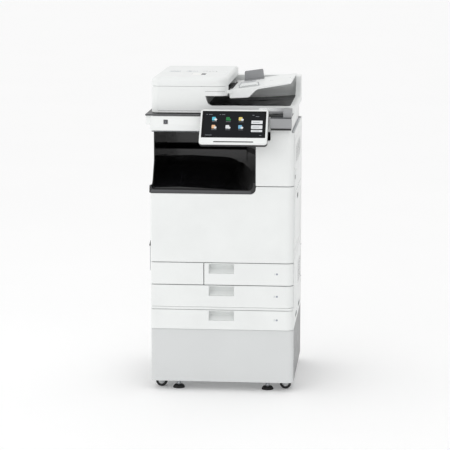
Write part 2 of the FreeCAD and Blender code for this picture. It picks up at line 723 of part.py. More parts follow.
def feeder_base():
    """White base: tall on the left and behind, a low lip in front and on the right, and the feed shelf."""
    low = feeder_bottom
    side_view = prism([(-half, low, 3), (half, low, 3), (half, low + feeder_lip, 8),
                       (-58.0, low + feeder_lip, 24), (-80.0, low + feeder_seam - 1, 12),
                       (-half, low + feeder_seam - 1, 8)],
                      "y", feeder_front, feeder_back)
    rear_wall = prism(rect(-half, half, low, low + 106, (0, 0, 14, 0)), "y", cover_back + 2, feeder_back)
    side_wall = prism([(feeder_front + 40, low, 0), (feeder_back, low, 0), (feeder_back, low + 106, 0),
                       (cover_back - 16, low + 106, 14), (cover_back - 60, low + feeder_lip - 2, 70),
                       (feeder_front + 40, low + feeder_lip - 2, 0)], "x", 262.0, half)
    rear_block = prism(rect(-half, cover_right, low + 100, low + feeder_height, (0, 0, 10, 18)),
                       "y", cover_back + 2, feeder_back)
    outer = fuse(side_view, rear_wall, rear_block, side_wall).common(feeder_plan(0, feeder_height))
    bowl = prism(rect(-74.0, 262.0, -242.0, cover_back, 14), "z", low + 10, low + feeder_height)
    works = box(-half + 8, -82.0, feeder_front + 12, cover_back - 4, low + 30, low + feeder_height)
    mouth = box(-90.0, -70.0, -170.0, 160.0, low + 79, low + feeder_height)
    notches = [box(x - 27, x + 27, 262.0, feeder_back + 1, low - 1, low + 30) for x in post_places]
    base = cut(outer, bowl, works, mouth, *notches)
    shelf = box(-83.0, cover_right - 1, -200.0, cover_back + 3, low + 74, low + 79)
    nose = prism(rect(-84.0, cover_right, feeder_front, -196.0, (0, nose_corner, 8, 0)),
                 "z", low + nose_bottom, low + feeder_seam - 1)
    brackets = []
    for y0 in (-156.0, 146.0):
        plate = prism([(-40.0, low + 78, 0), (0.0, low + 78, 0), (-8.0, low + 101, 5), (-32.0, low + 101, 5)],
                      "y", y0, y0 + 5)
        brackets.append(plate)
    ears = []
    y, z = hinge_axis
    for post in post_places:
        for x0 in (post - 27, post + 18.5):
            ears.append(prism([(y - 12, z - 8, 0), (y + 7, z - 8, 7), (y + 7, z + 8, 7), (y - 12, z + 8, 0)],
                              "x", x0, x0 + 8.5))
    bores = [rod("x", y, z, axle_radius + fit, post - 28, post + 28) for post in post_places]
    x, z = cover_axis
    hinges = []
    for y in cover_posts:
        hinges.append(prism([(x - 2.6, z - 12, 0), (x + 2.6, z - 12, 0), (x + 2.6, z + 2.6, 2.5),
                             (x - 2.6, z + 2.6, 2.5)], "y", y, y + 6))
        hinges.append(rod("y", x, z, cover_pin, y - 8, y + 14))
    x, z = tray_axis
    for y in (-235.0, 197.5):
        hinges.append(prism([(x - 17, z - 6, 0), (x + 7, z - 6, 6), (x + 7, z + 7, 6), (x - 17, z + 7, 0)],
                            "y", y, y + 5.5))
    bores.append(rod("y", x, z, tray_pin + fit, -236.0, 204.0))
    shaft_bore = rod("y", feed_axis[0], feed_axis[1], axle_radius + fit, -160.0, 155.0)
    return cut(fuse(base, shelf, nose, *brackets, *ears, *hinges), shaft_bore, *bores)


def feeder_exit_tray():
    """Black dished tray that fed sheets land on."""
    low = feeder_bottom + 10
    dish = prism([(-73.5, low, 0), (261.5, low, 0), (261.5, low + 14, 0), (120.0, low + 4, 300),
                  (-73.5, low + 7, 0)], "y", -241.5, cover_back - 0.5)
    plan = prism(rect(-73.5, 261.5, -241.5, cover_back - 0.5, 13.5), "z", low - 1, low + 30)
    return dish.common(plan)


def feeder_cover():
    """Cover over the feed mechanism, with a rolled front edge and a round front right corner."""
    low = feeder_bottom
    seam = low + feeder_seam
    top = low + feeder_height
    block = prism(rect(-half, cover_right, feeder_front, cover_back, (30, nose_corner, 0, 0)), "z", seam, top)
    rolled = [edge for edge in edges_on(block, "z", top) if edge.BoundBox.YMin < cover_back - 1]
    block = block.makeFillet(14.0, rolled)
    room = prism(rect(-half + skin, cover_right - skin, feeder_front + skin, cover_back - skin,
                      (27, nose_corner - skin, 0, 0)), "z", seam - 1, top - 16)
    x, z = cover_axis
    knuckles = []
    cuts = []
    for y in cover_posts:
        cuts.append(box(-half - 1, x + 3.6, y - 0.6, y + 6.6, seam - 1, z + 3.4))
        for y0 in (y - 10.0, y + 6.6):
            knuckles.append(box(x - 2.5, x + 3.5, y0, y0 + 9.4, seam + 1, z + 4.5))
            cuts.append(rod("y", x, z, cover_pin + fit, y0 - 1, y0 + 10.4))
    return cut(fuse(cut(block, room), *knuckles), *cuts)


def sloped(shape):
    """Document tray piece drawn level with its mouth at the origin, put in its place."""
    placed = swing(shape, V(0, 0, 0), V(0, 1, 0), -tray_slope)
    placed.translate(V(20.5, 0, feeder_bottom + 84))
    return placed


def document_tray():
    """Sloping tray for originals: deep at the feed mouth, thin towards its free end."""
    side = prism([(0.0, -30.0, 3), (74.0, -36.0, 14), (108.0, -9.0, 40), (246.0, -5.0, 2), (246.0, 0.0, 2),
                  (0.0, 0.0, 2)], "y", -228.0, 196.0)
    pins = [rod("y", *tray_axis, tray_pin, y, y + 12) for y in (-234.0, 190.0)]
    return fuse(sloped(side), *pins)


def document_guide(y, height):
    """Upright guide with its foot plate."""
    foot = box(34.0, 116.0, y - 16, y + 16, 0.3, 2.3)
    wall = prism([(34.0, 0.3, 0), (116.0, 0.3, 0), (116.0, height, 3), (40.0, height, 6)], "y", y - 3, y + 3)
    return sloped(fuse(foot, wall))


def feed_pickup_roller():
    """Shaft with the two soft rollers that draw the top sheet in."""
    x, z = feed_axis
    shaft = rod("y", x, z, axle_radius, -158.0, 153.0)
    rollers = [rod("y", x, z, 10.0, y - 16, y + 16) for y in (-28.0, 24.0)]
    return fuse(shaft, *rollers)


def hinge_posts():
    """Two hinge blocks with pins, each on a post that stands in the scanner."""
    y, z = hinge_axis
    posts = []
    for x in post_places:
        post = rod("z", x, 276.0, 8.0, reader_bottom + 6, reader_top + 2)
        block = prism([(266.0, reader_top + 0.4, 0), (297.0, reader_top + 0.4, 2), (297.0, z + 9, 5),
                       (268.0, z + 9, 3)], "x", x - 18, x + 18)
        pin = rod("x", y, z, axle_radius, x - 26, x + 26)
        posts.append(fuse(post, block, pin))
    return posts


# ---------------------------------------------------------------------------------------------------------
# Nodes
# ---------------------------------------------------------------------------------------------------------
nodes = {
    "pedestal_cabinet": pedestal_cabinet(),
    "pedestal_front_panel": pedestal_front_panel(),
    "locating_pins": locating_pins(),
    "adjuster_left": adjuster("left"),
    "adjuster_right": adjuster("right"),
    "lower_module_case": lower_module_case(),
    "main_frame": main_frame(),
    "left_cover": left_cover(),
    "right_cover": right_cover(),
    "rear_cover": rear_cover(),
    "cover_screws": cover_screws(),
    "left_front_panel": left_front_panel(),
    "upper_front_cover": upper_front_cover(),
    "output_tray": output_tray(),
    "side_grip": side_grip(),
    "front_door": front_door(),
    "right_door": right_door(),
    "bypass_tray": bypass_tray(),
    "inner_cover": inner_cover(),
    "laser_unit": laser_unit(),
    "transfer_belt": transfer_belt(),
    "toner_containers": toner_containers(),
    "heat_roller": fixing_roller(heat_axis),
    "pressure_roller": fixing_roller(press_axis),
    "exit_roller": exit_roller(),
    "circuit_boards": circuit_boards(),
    "scanner_housing": scanner_housing(),
    "scanner_top_frame": scanner_top_frame(),
    "platen_glass": platen_glass(),
    "scan_carriage": scan_carriage(),
    "power_button": power_button(),
    "panel_base": panel_base(),
    "panel_housing": panel_housing(),
    "panel_screen": panel_screen(),
    "feeder_base": feeder_base(),
    "feeder_exit_tray": feeder_exit_tray(),
    "feeder_cover": feeder_cover(),
    "document_tray": document_tray(),
    "document_guide_rear": document_guide(138.0, 40.0),
    "document_guide_front": document_guide(-158.0, 14.0),
    "feed_pickup_roller": feed_pickup_roller(),
    "hinge_posts": hinge_posts(),
}
for number in range(1, 5):
    nodes["caster_fork_%d" % number] = caster_fork(caster_places[number - 1])
    nodes["caster_wheel_%d" % number] = caster_wheel(caster_places[number - 1])
    nodes["drum_%d" % number] = drum(drum_places[number - 1])
for number in range(1, 4):
    nodes["cassette_front_%d" % number] = cassette_front(number - 1)
    nodes["cassette_tray_%d" % number] = cassette_tray(number - 1)

shapes = {}
for name, shape in nodes.items():
    shapes[name] = Part.makeCompound(shape) if isinstance(shape, list) else shape

whole = FreeCAD.BoundBox()
for shape in shapes.values():
    whole.add(shape.optimalBoundingBox(False))
shift = V(-whole.Center.x, -whole.Center.y, 0)
print("size %.1f x %.1f x %.1f, lowest %.2f" % (whole.XLength, whole.YLength, whole.ZLength, whole.ZMin))
print("shift %.2f %.2f" % (shift.x, shift.y))

for name, shape in shapes.items():
    shape.translate(shift)
    shape.exportStep("parts/%s.step" % name)
print("%d nodes" % len(shapes))
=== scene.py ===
import json
import math

import bmesh
import bpy
from mathutils import Matrix, Vector


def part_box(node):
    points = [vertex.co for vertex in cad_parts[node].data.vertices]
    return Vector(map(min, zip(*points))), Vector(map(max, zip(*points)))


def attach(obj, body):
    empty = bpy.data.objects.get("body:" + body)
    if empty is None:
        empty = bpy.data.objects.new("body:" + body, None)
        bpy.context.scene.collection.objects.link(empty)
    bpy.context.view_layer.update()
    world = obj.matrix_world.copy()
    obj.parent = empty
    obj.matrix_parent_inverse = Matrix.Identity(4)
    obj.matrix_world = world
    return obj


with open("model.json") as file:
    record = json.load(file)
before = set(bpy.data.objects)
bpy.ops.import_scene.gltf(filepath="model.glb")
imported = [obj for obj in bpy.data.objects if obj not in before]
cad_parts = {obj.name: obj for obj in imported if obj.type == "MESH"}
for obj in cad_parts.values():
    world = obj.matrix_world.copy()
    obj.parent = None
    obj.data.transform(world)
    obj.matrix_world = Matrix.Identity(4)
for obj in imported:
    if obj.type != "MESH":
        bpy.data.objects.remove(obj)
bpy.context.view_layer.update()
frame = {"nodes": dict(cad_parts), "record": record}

# Floor-standing photocopier. Lengths are in millimetres until place() turns them into the frame's metres:
# x from the middle of the body to the operator's right, y away from the operator with the doors' face at
# -310, and z above the floor.

MM = 0.001
MIDDLE = sum(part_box("rear_cover")[i].x for i in (0, 1)) / 2
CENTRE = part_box("front_door")[0].y + 310 * MM


def place(x, y, z):
    """Point in the frame's metres."""
    return Vector((MIDDLE + x * MM, CENTRE + y * MM, z * MM))


def to_mm(point):
    """Point of the frame as (x, y, z) in millimetres."""
    return ((point.x - MIDDLE) / MM, (point.y - CENTRE) / MM, point.z / MM)


def tilted(spot, degrees, axis):
    """Matrix that tilts what is drawn about the origin and moves it to a spot."""
    turn = Matrix.Rotation(math.radians(degrees), 4, axis)
    return Matrix.Translation(place(*spot)) @ turn @ Matrix.Translation(-place(0, 0, 0))


def span(node):
    """Lowest and highest (x, y, z) of a CAD node, in millimetres."""
    return tuple(to_mm(corner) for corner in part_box(node))


# ---------------------------------------------------------------------------------------------------------
# Materials
# ---------------------------------------------------------------------------------------------------------
def srgb(r, g, b):
    """Linear colour from 0..255 display values."""
    def linear(c):
        c /= 255
        return c / 12.92 if c <= 0.04045 else ((c + 0.055) / 1.055) ** 2.4
    return (linear(r), linear(g), linear(b), 1.0)


def scaled(colour, factor):
    """Colour made lighter or darker."""
    return tuple(min(1.0, c * factor) for c in colour[:3]) + (1.0,)


SOCKETS = {"specular_ior_level": "Specular IOR Level", "ior": "IOR"}


class Nodes:
    """Short names for the shader nodes that the materials below are made of."""

    def __init__(self, name):
        self.material = bpy.data.materials.new(name)
        self.material.use_nodes = True
        self.tree = self.material.node_tree
        self.shader = self.tree.nodes["Principled BSDF"]
        self.where = self.node("ShaderNodeTexCoord").outputs["Object"]

    def node(self, kind, **values):
        made = self.tree.nodes.new(kind)
        for key, value in values.items():
            setattr(made, key, value)
        return made

    def link(self, out, into):
        self.tree.links.new(out, into)

    def stretched(self, sx, sy, sz):
        mapping = self.node("ShaderNodeMapping")
        mapping.inputs["Scale"].default_value = (sx, sy, sz)
        self.link(self.where, mapping.inputs["Vector"])
        return mapping.outputs["Vector"]

    def noise(self, size_mm, detail=2.0, rough=0.5, vector=None):
        made = self.node("ShaderNodeTexNoise")
        made.inputs["Scale"].default_value = 1 / (size_mm * MM)
        made.inputs["Detail"].default_value = detail
        made.inputs["Roughness"].default_value = rough
        self.link(vector or self.where, made.inputs["Vector"])
        return made.outputs["Fac"]

    def cells(self, size_mm, vector=None):
        made = self.node("ShaderNodeTexVoronoi")
        made.inputs["Scale"].default_value = 1 / (size_mm * MM)
        self.link(vector or self.where, made.inputs["Vector"])
        return made.outputs["Distance"]

    def remap(self, value, low, high, to_low, to_high):
        made = self.node("ShaderNodeMapRange")
        for key, number in zip(("From Min", "From Max", "To Min", "To Max"), (low, high, to_low, to_high)):
            made.inputs[key].default_value = number
        self.link(value, made.inputs["Value"])
        return made.outputs["Result"]

    def add(self, first, second, operation="ADD"):
        made = self.node("ShaderNodeMath", operation=operation)
        self.link(first, made.inputs[0])
        if isinstance(second, (int, float)):
            made.inputs[1].default_value = second
        else:
            self.link(second, made.inputs[1])
        return made.outputs[0]

    def mix(self, factor, first, second):
        made = self.node("ShaderNodeMix", data_type="RGBA")
        self.link(factor, made.inputs[0])
        for socket, value in ((made.inputs[6], first), (made.inputs[7], second)):
            if isinstance(value, tuple):
                socket.default_value = value
            else:
                self.link(value, socket)
        return made.outputs[2]

    def bump(self, height, strength, depth_mm, under=None):
        made = self.node("ShaderNodeBump")
        made.inputs["Strength"].default_value = strength
        made.inputs["Distance"].default_value = depth_mm * MM
        self.link(height, made.inputs["Height"])
        if under:
            self.link(under, made.inputs["Normal"])
        return made.outputs["Normal"]

    def edges(self, low=0.52, high=0.62):
        """1 along convex edges, for wear."""
        return self.remap(self.node("ShaderNodeNewGeometry").outputs["Pointiness"], low, high, 0.0, 1.0)

    def finish(self, colour, rough, normal=None, metallic=0.0, **sockets):
        for value, key in ((colour, "Base Color"), (rough, "Roughness")):
            socket = self.shader.inputs[key]
            if isinstance(value, (tuple, float, int)):
                socket.default_value = value
            else:
                self.link(value, socket)
        if normal:
            self.link(normal, self.shader.inputs["Normal"])
        self.shader.inputs["Metallic"].default_value = metallic
        for key, value in sockets.items():
            self.shader.inputs[SOCKETS.get(key, key.replace("_", " ").title())].default_value = value
        return self.material


def moulded(name, colour, rough=0.42, grain_mm=0.55, grain=0.35, wear=1.06, soil=0.965):
    """Spark-eroded moulded plastic: fine grain, faint mottling, handled patches and lighter edges."""
    n = Nodes(name)
    mottle = n.noise(140, 3)
    patches = n.noise(38, 4, 0.6)
    base = n.mix(n.remap(mottle, 0.35, 0.65, 0.0, 1.0), scaled(colour, soil), colour)
    base = n.mix(n.add(n.edges(), 0.5, "MULTIPLY"), base, scaled(colour, wear))
    shine = n.add(n.remap(patches, 0.3, 0.7, rough - 0.05, rough + 0.06),
                  n.remap(n.noise(grain_mm, 2), 0.3, 0.7, -0.03, 0.03))
    leather = n.add(n.cells(grain_mm * 1.6), n.noise(grain_mm * 0.7, 2))
    fine = n.bump(leather, grain, 0.04)
    wave = n.bump(mottle, 0.10, 0.5, fine)
    return n.finish(base, shine, wave, specular_ior_level=0.45)


def glossy(name, colour, rough=0.16, scratch=0.12, coat=0.3, gleam=0.5):
    """Polished dark moulding with hair scratches, dust and a soft waviness."""
    n = Nodes(name)
    hairs = n.noise(3.0, 2, 0.5, n.stretched(1, 24, 24))
    dust = n.remap(n.noise(5.0, 4, 0.7), 0.62, 0.80, 0.0, 1.0)
    base = n.mix(n.add(dust, 0.10, "MULTIPLY"), colour, scaled(colour, 3.0))
    shine = n.add(n.remap(hairs, 0.45, 0.75, rough, rough + 0.10), n.add(dust, 0.12, "MULTIPLY"))
    normal = n.bump(hairs, scratch, 0.02, n.bump(n.noise(60, 2), 0.15, 0.3))
    return n.finish(base, shine, normal, coat_weight=coat, coat_roughness=0.08, specular_ior_level=gleam)


def sheet_metal(name, colour, rough=0.32, brushed=(1, 30, 1)):
    """Zinc-plated or brushed sheet: drawn grain, spangle and handling marks."""
    n = Nodes(name)
    drawn = n.noise(2.0, 3, 0.6, n.stretched(*brushed))
    spangle = n.cells(9.0)
    base = n.mix(n.remap(spangle, 0.1, 0.9, 0.0, 1.0), scaled(colour, 0.86), colour)
    shine = n.add(n.remap(drawn, 0.3, 0.7, rough - 0.08, rough + 0.10),
                  n.remap(n.noise(25, 4), 0.4, 0.7, 0.0, 0.08))
    normal = n.bump(drawn, 0.12, 0.02)
    return n.finish(base, shine, normal, metallic=1.0, anisotropic=0.4)


def painted(name, colour, rough=0.38):
    """Powder-coated sheet steel: orange peel over a faint colour drift, chipped lighter on its edges."""
    n = Nodes(name)
    peel = n.noise(1.3, 2)
    drift = n.noise(210, 2)
    base = n.mix(n.remap(drift, 0.3, 0.7, 0.0, 1.0), scaled(colour, 0.97), colour)
    base = n.mix(n.add(n.edges(), 0.35, "MULTIPLY"), base, scaled(colour, 1.08))
    shine = n.remap(n.noise(30, 4), 0.3, 0.7, rough - 0.04, rough + 0.08)
    return n.finish(base, shine, n.bump(peel, 0.22, 0.05), specular_ior_level=0.5)


def rubbery(name, colour, rough=0.72, ribs=None):
    """Matt rubber with bloom, fine pitting and, on a tread, mould lines round it."""
    n = Nodes(name)
    bloom = n.noise(14, 5, 0.65)
    base = n.mix(n.remap(bloom, 0.4, 0.75, 0.0, 1.0), colour, scaled(colour, 1.9))
    base = n.mix(n.edges(0.53, 0.66), base, scaled(colour, 2.2))
    normal = n.bump(n.noise(0.5, 3), 0.30, 0.06)
    if ribs:
        wave = n.node("ShaderNodeTexWave", bands_direction=ribs)
        wave.inputs["Scale"].default_value = 150
        n.link(n.where, wave.inputs["Vector"])
        normal = n.bump(wave.outputs["Fac"], 0.25, 0.12, normal)
    return n.finish(base, n.remap(bloom, 0.3, 0.7, rough - 0.08, rough + 0.10), normal)


def clear_glass(name, tint, rough=0.02):
    """Float glass with a faint tint and fingerprints."""
    n = Nodes(name)
    prints = n.remap(n.noise(26, 6, 0.7), 0.52, 0.72, rough, rough + 0.12)
    return n.finish(tint, prints, n.bump(n.noise(180, 1), 0.05, 0.2), transmission_weight=0.85, ior=1.5,
                    alpha=0.6)


def lit(name, colour, rough=0.12):
    """Patch of a lit screen: the colour glows through glossy glass, in a fine pixel grid."""
    n = Nodes(name)
    grid = n.node("ShaderNodeTexChecker")
    grid.inputs["Scale"].default_value = 3000
    grid.inputs["Color1"].default_value = colour
    grid.inputs["Color2"].default_value = scaled(colour, 0.86)
    n.link(n.where, grid.inputs["Vector"])
    drift = n.mix(n.noise(18, 2), grid.outputs["Color"], scaled(colour, 1.15))
    n.link(drift, n.shader.inputs["Emission Color"])
    n.shader.inputs["Emission Strength"].default_value = 1.0
    base = n.mix(n.noise(18, 2), scaled(colour, 0.18), scaled(colour, 0.24))
    return n.finish(base, n.remap(n.noise(20, 4), 0.3, 0.7, rough, rough + 0.05), specular_ior_level=0.14)


def printed(name, colour, rough=0.5):
    """Screen-printed ink, slightly uneven."""
    n = Nodes(name)
    worn = n.remap(n.noise(1.2, 4, 0.7), 0.35, 0.6, 0.0, 1.0)
    base = n.mix(worn, scaled(colour, 1.35), colour)
    return n.finish(base, n.remap(n.noise(8, 3), 0.3, 0.7, rough - 0.06, rough + 0.06),
                    n.bump(worn, 0.1, 0.01))


def family(make, rows):
    """Materials of one kind: name, display colour, and what differs from the kind's usual values."""
    return {name: make(name, srgb(*colour), **options) for name, colour, options in rows}


M = {
    **family(moulded, (
        ("white_cover", (239, 241, 240), dict(rough=0.40)),
        ("white_rough", (231, 233, 233), dict(rough=0.50, grain_mm=0.8, grain=0.5)),
        ("black_grained", (25, 25, 27), dict(rough=0.40, grain_mm=0.7, grain=0.5, wear=1.8, soil=0.8)),
        ("lip_grey", (70, 71, 73), dict(rough=0.34, wear=1.5, soil=0.9)),
        ("dark_grey_plastic", (66, 67, 69), dict(rough=0.42, wear=1.4, soil=0.9)),
        ("grey_plastic", (158, 159, 161), dict(rough=0.36, wear=1.15, soil=0.94)),
        ("light_grey_plastic", (200, 202, 203), dict(rough=0.42, wear=1.08, soil=0.95)),
        ("toner_plastic", (52, 53, 56), dict(rough=0.4, wear=1.4, soil=0.9)),
        ("seam_shadow", (70, 72, 74), dict(rough=0.7, wear=1.2, soil=0.9)),
        ("cyan", (20, 140, 190), dict(wear=1.2, soil=0.9)),
        ("magenta", (186, 36, 110), dict(wear=1.2, soil=0.9)),
        ("yellow", (226, 190, 30), dict(wear=1.1, soil=0.9)),
        ("green_grip", (58, 150, 84), dict(wear=1.2, soil=0.9)),
        ("blue_grip", (52, 104, 178), dict(wear=1.2, soil=0.9)))),
    **family(painted, (
        ("pedestal_paint", (218, 220, 220), {}),
        # The cabinet's side faces get a darker grey: painted shade of the side turned away from the light.
        ("pedestal_side", (134, 135, 136), {}))),
    **family(sheet_metal, (
        ("steel", (196, 199, 203), {}),
        ("pin_steel", (205, 206, 210), dict(rough=0.16, brushed=(18, 18, 1))),
        ("screw_steel", (186, 188, 190), dict(rough=0.24, brushed=(14, 1, 14))))),
    **family(rubbery, (
        ("black_rubber", (24, 24, 25), {}),
        ("tyre", (20, 20, 21), dict(ribs="Y")),
        ("roller_rubber", (118, 66, 52), dict(rough=0.55)))),
    **family(glossy, (
        ("black_plastic", (20, 20, 22), {}),
        ("screen_glass", (12, 12, 14), dict(rough=0.06, scratch=0.03, coat=0.0, gleam=0.16)),
        ("drum_coating", (30, 92, 84), dict(rough=0.10)),
        ("belt_film", (40, 40, 44), dict(rough=0.26)),
        ("circuit_board", (24, 92, 52), dict(rough=0.3, coat=0.2)))),
    **family(clear_glass, (("platen_glass", (200, 226, 220), {}),)),
    **family(printed, (
        ("ink_grey", (150, 155, 165), {}),
        ("ink_dark", (62, 64, 68), {}),
        ("paper", (244, 244, 240), dict(rough=0.8)))),
}
LOOKS = {"back": (17, 19, 22), "cyan": (92, 178, 198), "green": (44, 112, 66), "yellow": (206, 188, 112),
         "orange": (214, 172, 134), "white": (206, 208, 210), "blue": (112, 166, 196), "dim": (112, 116, 120)}
SCREEN = {look: lit("screen_" + look, srgb(*colour)) for look, colour in LOOKS.items()}

# Record's slot for each material that isn't a slot itself.
dict.fromkeys(("lip_grey", "ink_dark", "seam_shadow"), "dark_grey_plastic")
dict.fromkeys(("ink_grey", "cyan", "magenta", "yellow", "green_grip", "blue_grip"),
                           "grey_plastic")
dict.fromkeys(("screen_" + look for look in LOOKS), "screen_glass")


# ---------------------------------------------------------------------------------------------------------
# Shapes
# ---------------------------------------------------------------------------------------------------------
def finish_mesh(bm, name, material, smooth=40):
    """Piece from a bmesh, with clean normals."""
    bmesh.ops.recalc_face_normals(bm, faces=bm.faces)
    mesh = bpy.data.meshes.new(name)
    bm.to_mesh(mesh)
    bm.free()
    return shown(name, mesh, material, smooth)


def shown(name, mesh, material, smooth):
    """Object of a mesh in the scene, smooth up to an angle."""
    mesh.shade_smooth()
    mesh.set_sharp_from_angle(angle=math.radians(smooth))
    made = bpy.data.objects.new(name, mesh)
    bpy.context.scene.collection.objects.link(made)
    mesh.materials.append(M[material] if isinstance(material, str) else material)
    return made


def round_edges(bm, radius, segments=3):
    """Bevel sharp edges by a radius in millimetres."""
    sharp = [e for e in bm.edges if len(e.link_faces) == 2 and e.calc_face_angle(0) > math.radians(35)]
    bmesh.ops.bevel(bm, geom=sharp, offset=radius * MM, segments=segments, profile=0.5, affect="EDGES",
                    clamp_overlap=True)


def mapped(axis, u, v, w):
    """Point of a profile: u, v are x, y along z; x, z along y; and y, z along x."""
    return {"z": (u, v, w), "y": (u, w, v), "x": (w, u, v)}[axis]


def corners(bm, axis, points, w, turn=None):
    """Vertices of an outline at w along an axis; turn is a matrix in the frame's metres."""
    spots = [place(*mapped(axis, u, v, w)) for u, v in points]
    return [bm.verts.new(turn @ spot if turn else spot) for spot in spots]


def skin(bm, rings):
    """Band of faces from each ring of vertices to the next."""
    for first, second in zip(rings, rings[1:]):
        for i in range(len(first)):
            j = (i + 1) % len(first)
            bm.faces.new((first[i], first[j], second[j], second[i]))


def add_prism(bm, points, axis, start, end, turn=None):
    """Closed prism of an outline, added to a bmesh."""
    low = corners(bm, axis, points, start, turn)
    high = corners(bm, axis, points, end, turn)
    bm.faces.new(low)
    bm.faces.new(list(reversed(high)))
    for i in range(len(points)):
        j = (i + 1) % len(points)
        bm.faces.new((low[j], low[i], high[i], high[j]))


def prism(name, points, axis, start, end, material, edge=0.6, turn=None):
    """One prism with rounded edges, as a piece."""
    return prisms(name, [(points, axis, start, end)], material, edge, turn)


def prisms(name, items, material, edge=0.6, turn=None):
    """Several prisms as one piece: items are (points, axis, start, end)."""
    bm = bmesh.new()
    for points, axis, start, end in items:
        add_prism(bm, points, axis, start, end, turn)
    if edge:
        round_edges(bm, edge)
    return finish_mesh(bm, name, material)


def rounded(u0, u1, v0, v1, radius=2.0, steps=5):
    """Rectangle with rounded corners, as outline points."""
    radius = min(radius, (u1 - u0) / 2.01, (v1 - v0) / 2.01)
    corners = ((u1 - radius, v1 - radius, 0), (u0 + radius, v1 - radius, 90),
               (u0 + radius, v0 + radius, 180), (u1 - radius, v0 + radius, 270))
    points = []
    for cu, cv, first in corners:
        for k in range(steps + 1):
            angle = math.radians(first + 90 * k / steps)
            points.append((cu + radius * math.cos(angle), cv + radius * math.sin(angle)))
    return points


def circle(u, v, radius, steps=32):
    """Circle as outline points."""
    return [(u + radius * math.cos(2 * math.pi * k / steps), v + radius * math.sin(2 * math.pi * k / steps))
            for k in range(steps)]


def lathe(name, axis, u, v, profile, material, steps=40, bored=False):
    """Solid of revolution about an axis through (u, v); its (radius, w) profile is a closed line if bored."""
    bm = bmesh.new()
    rings = [corners(bm, axis, circle(u, v, radius, steps), w) for radius, w in profile]
    if bored:
        skin(bm, rings + rings[:1])
    else:
        skin(bm, rings)
        bm.faces.new(rings[0])
        bm.faces.new(list(reversed(rings[-1])))
    return finish_mesh(bm, name, material, 32)


def pipe(name, spots, radius, material):
    """Round cable or bead through (x, y, z) spots, as a mesh."""
    curve = bpy.data.curves.new(name, "CURVE")
    curve.dimensions = "3D"
    curve.bevel_depth = radius * MM
    curve.bevel_resolution = 6
    curve.use_fill_caps = True
    spline = curve.splines.new("NURBS")
    spline.points.add(len(spots) - 1)
    for point, spot in zip(spline.points, spots):
        point.co = (*place(*spot), 1.0)
    spline.order_u = 3
    spline.use_endpoint_u = True
    spline.resolution_u = 8
    holder = bpy.data.objects.new(name + "_curve", curve)
    bpy.context.scene.collection.objects.link(holder)
    mesh = bpy.data.meshes.new_from_object(holder)
    bpy.data.objects.remove(holder)
    mesh.name = name
    return shown(name, mesh, material, 50)


def bezel(name, outer, inner, axis, start, end, material, edge=0.4, turn=None):
    """Frame between two outlines that have as many points."""
    bm = bmesh.new()
    rings = [corners(bm, axis, line, w, turn)
             for line, w in ((outer, start), (inner, start), (inner, end), (outer, end))]
    skin(bm, rings + rings[:1])
    if edge:
        round_edges(bm, edge, segments=2)
    return finish_mesh(bm, name, material)


def ring(name, axis, u, v, inner, outer, start, end, material):
    """Washer or sleeve about an axis."""
    return bezel(name, circle(u, v, outer, 36), circle(u, v, inner, 36), axis, start, end, material, 0.2)


def joined(name, parts):
    """One piece from several of one or more materials."""
    bpy.ops.object.select_all(action="DESELECT")
    for part in parts:
        part.select_set(True)
    bpy.context.view_layer.objects.active = parts[0]
    bpy.ops.object.join()
    parts[0].name = name
    return parts[0]


def fit(piece, body):
    """Piece rides on a body."""
    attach(piece, body)
    return piece


class Rider:
    """Makes pieces that ride on one body; turn is the matrix of the tilted frame they are drawn in."""

    def __init__(self, body, turn=None):
        self.body = body
        self.turn = turn

    def prisms(self, name, items, material, edge=0.6):
        return fit(prisms(name, items, material, edge, self.turn), self.body)

    def prism(self, name, points, axis, start, end, material, edge=0.6):
        return fit(prism(name, points, axis, start, end, material, edge, self.turn), self.body)

    def bezel(self, name, outer, inner, axis, start, end, material, edge=0.4):
        return fit(bezel(name, outer, inner, axis, start, end, material, edge, self.turn), self.body)

    def ring(self, *shape):
        return fit(ring(*shape), self.body)

    def lathe(self, *shape):
        return fit(lathe(*shape), self.body)

    def pipe(self, *shape):
        return fit(pipe(*shape), self.body)

    def joined(self, name, parts):
        return fit(joined(name, parts), self.body)


def dress(node, material, edge=0.0):
    """CAD node's finish, with its sharp edges eased by a radius in millimetres where that is above 0."""
    shape = frame["nodes"][node]
    shape.data.materials.clear()
    shape.data.materials.append(M[material])
    shape.data.shade_smooth()
    weld = shape.modifiers.new("weld", "WELD")
    weld.merge_threshold = 0.00001
    if edge:
        flat = shape.modifiers.new("flat", "DECIMATE")
        flat.decimate_type = "DISSOLVE"
        flat.delimit = {"MATERIAL"}
        flat.angle_limit = math.radians(0.4)
        ease = shape.modifiers.new("ease", "BEVEL")
        ease.width = edge * MM
        ease.segments = 3
        ease.limit_method = "ANGLE"
        ease.angle_limit = math.radians(38)
        ease.miter_outer = "MITER_ARC"
        ease.use_clamp_overlap = True
    weighted = shape.modifiers.new("weighted", "WEIGHTED_NORMAL")
    weighted.weight = 80
    weighted.keep_sharp = False
    return shape


# ---------------------------------------------------------------------------------------------------------
# CAD nodes: finish and eased edges
# ---------------------------------------------------------------------------------------------------------
def paint(node, material, test):
    """Faces of a CAD node whose middle passes a test in (x, y, z) millimetres take another material."""
    shape = frame["nodes"][node]
    shape.data.materials.append(M[material])
    index = len(shape.data.materials) - 1
    for face in shape.data.polygons:
        if test(*to_mm(face.center)):
            face.material_index = index


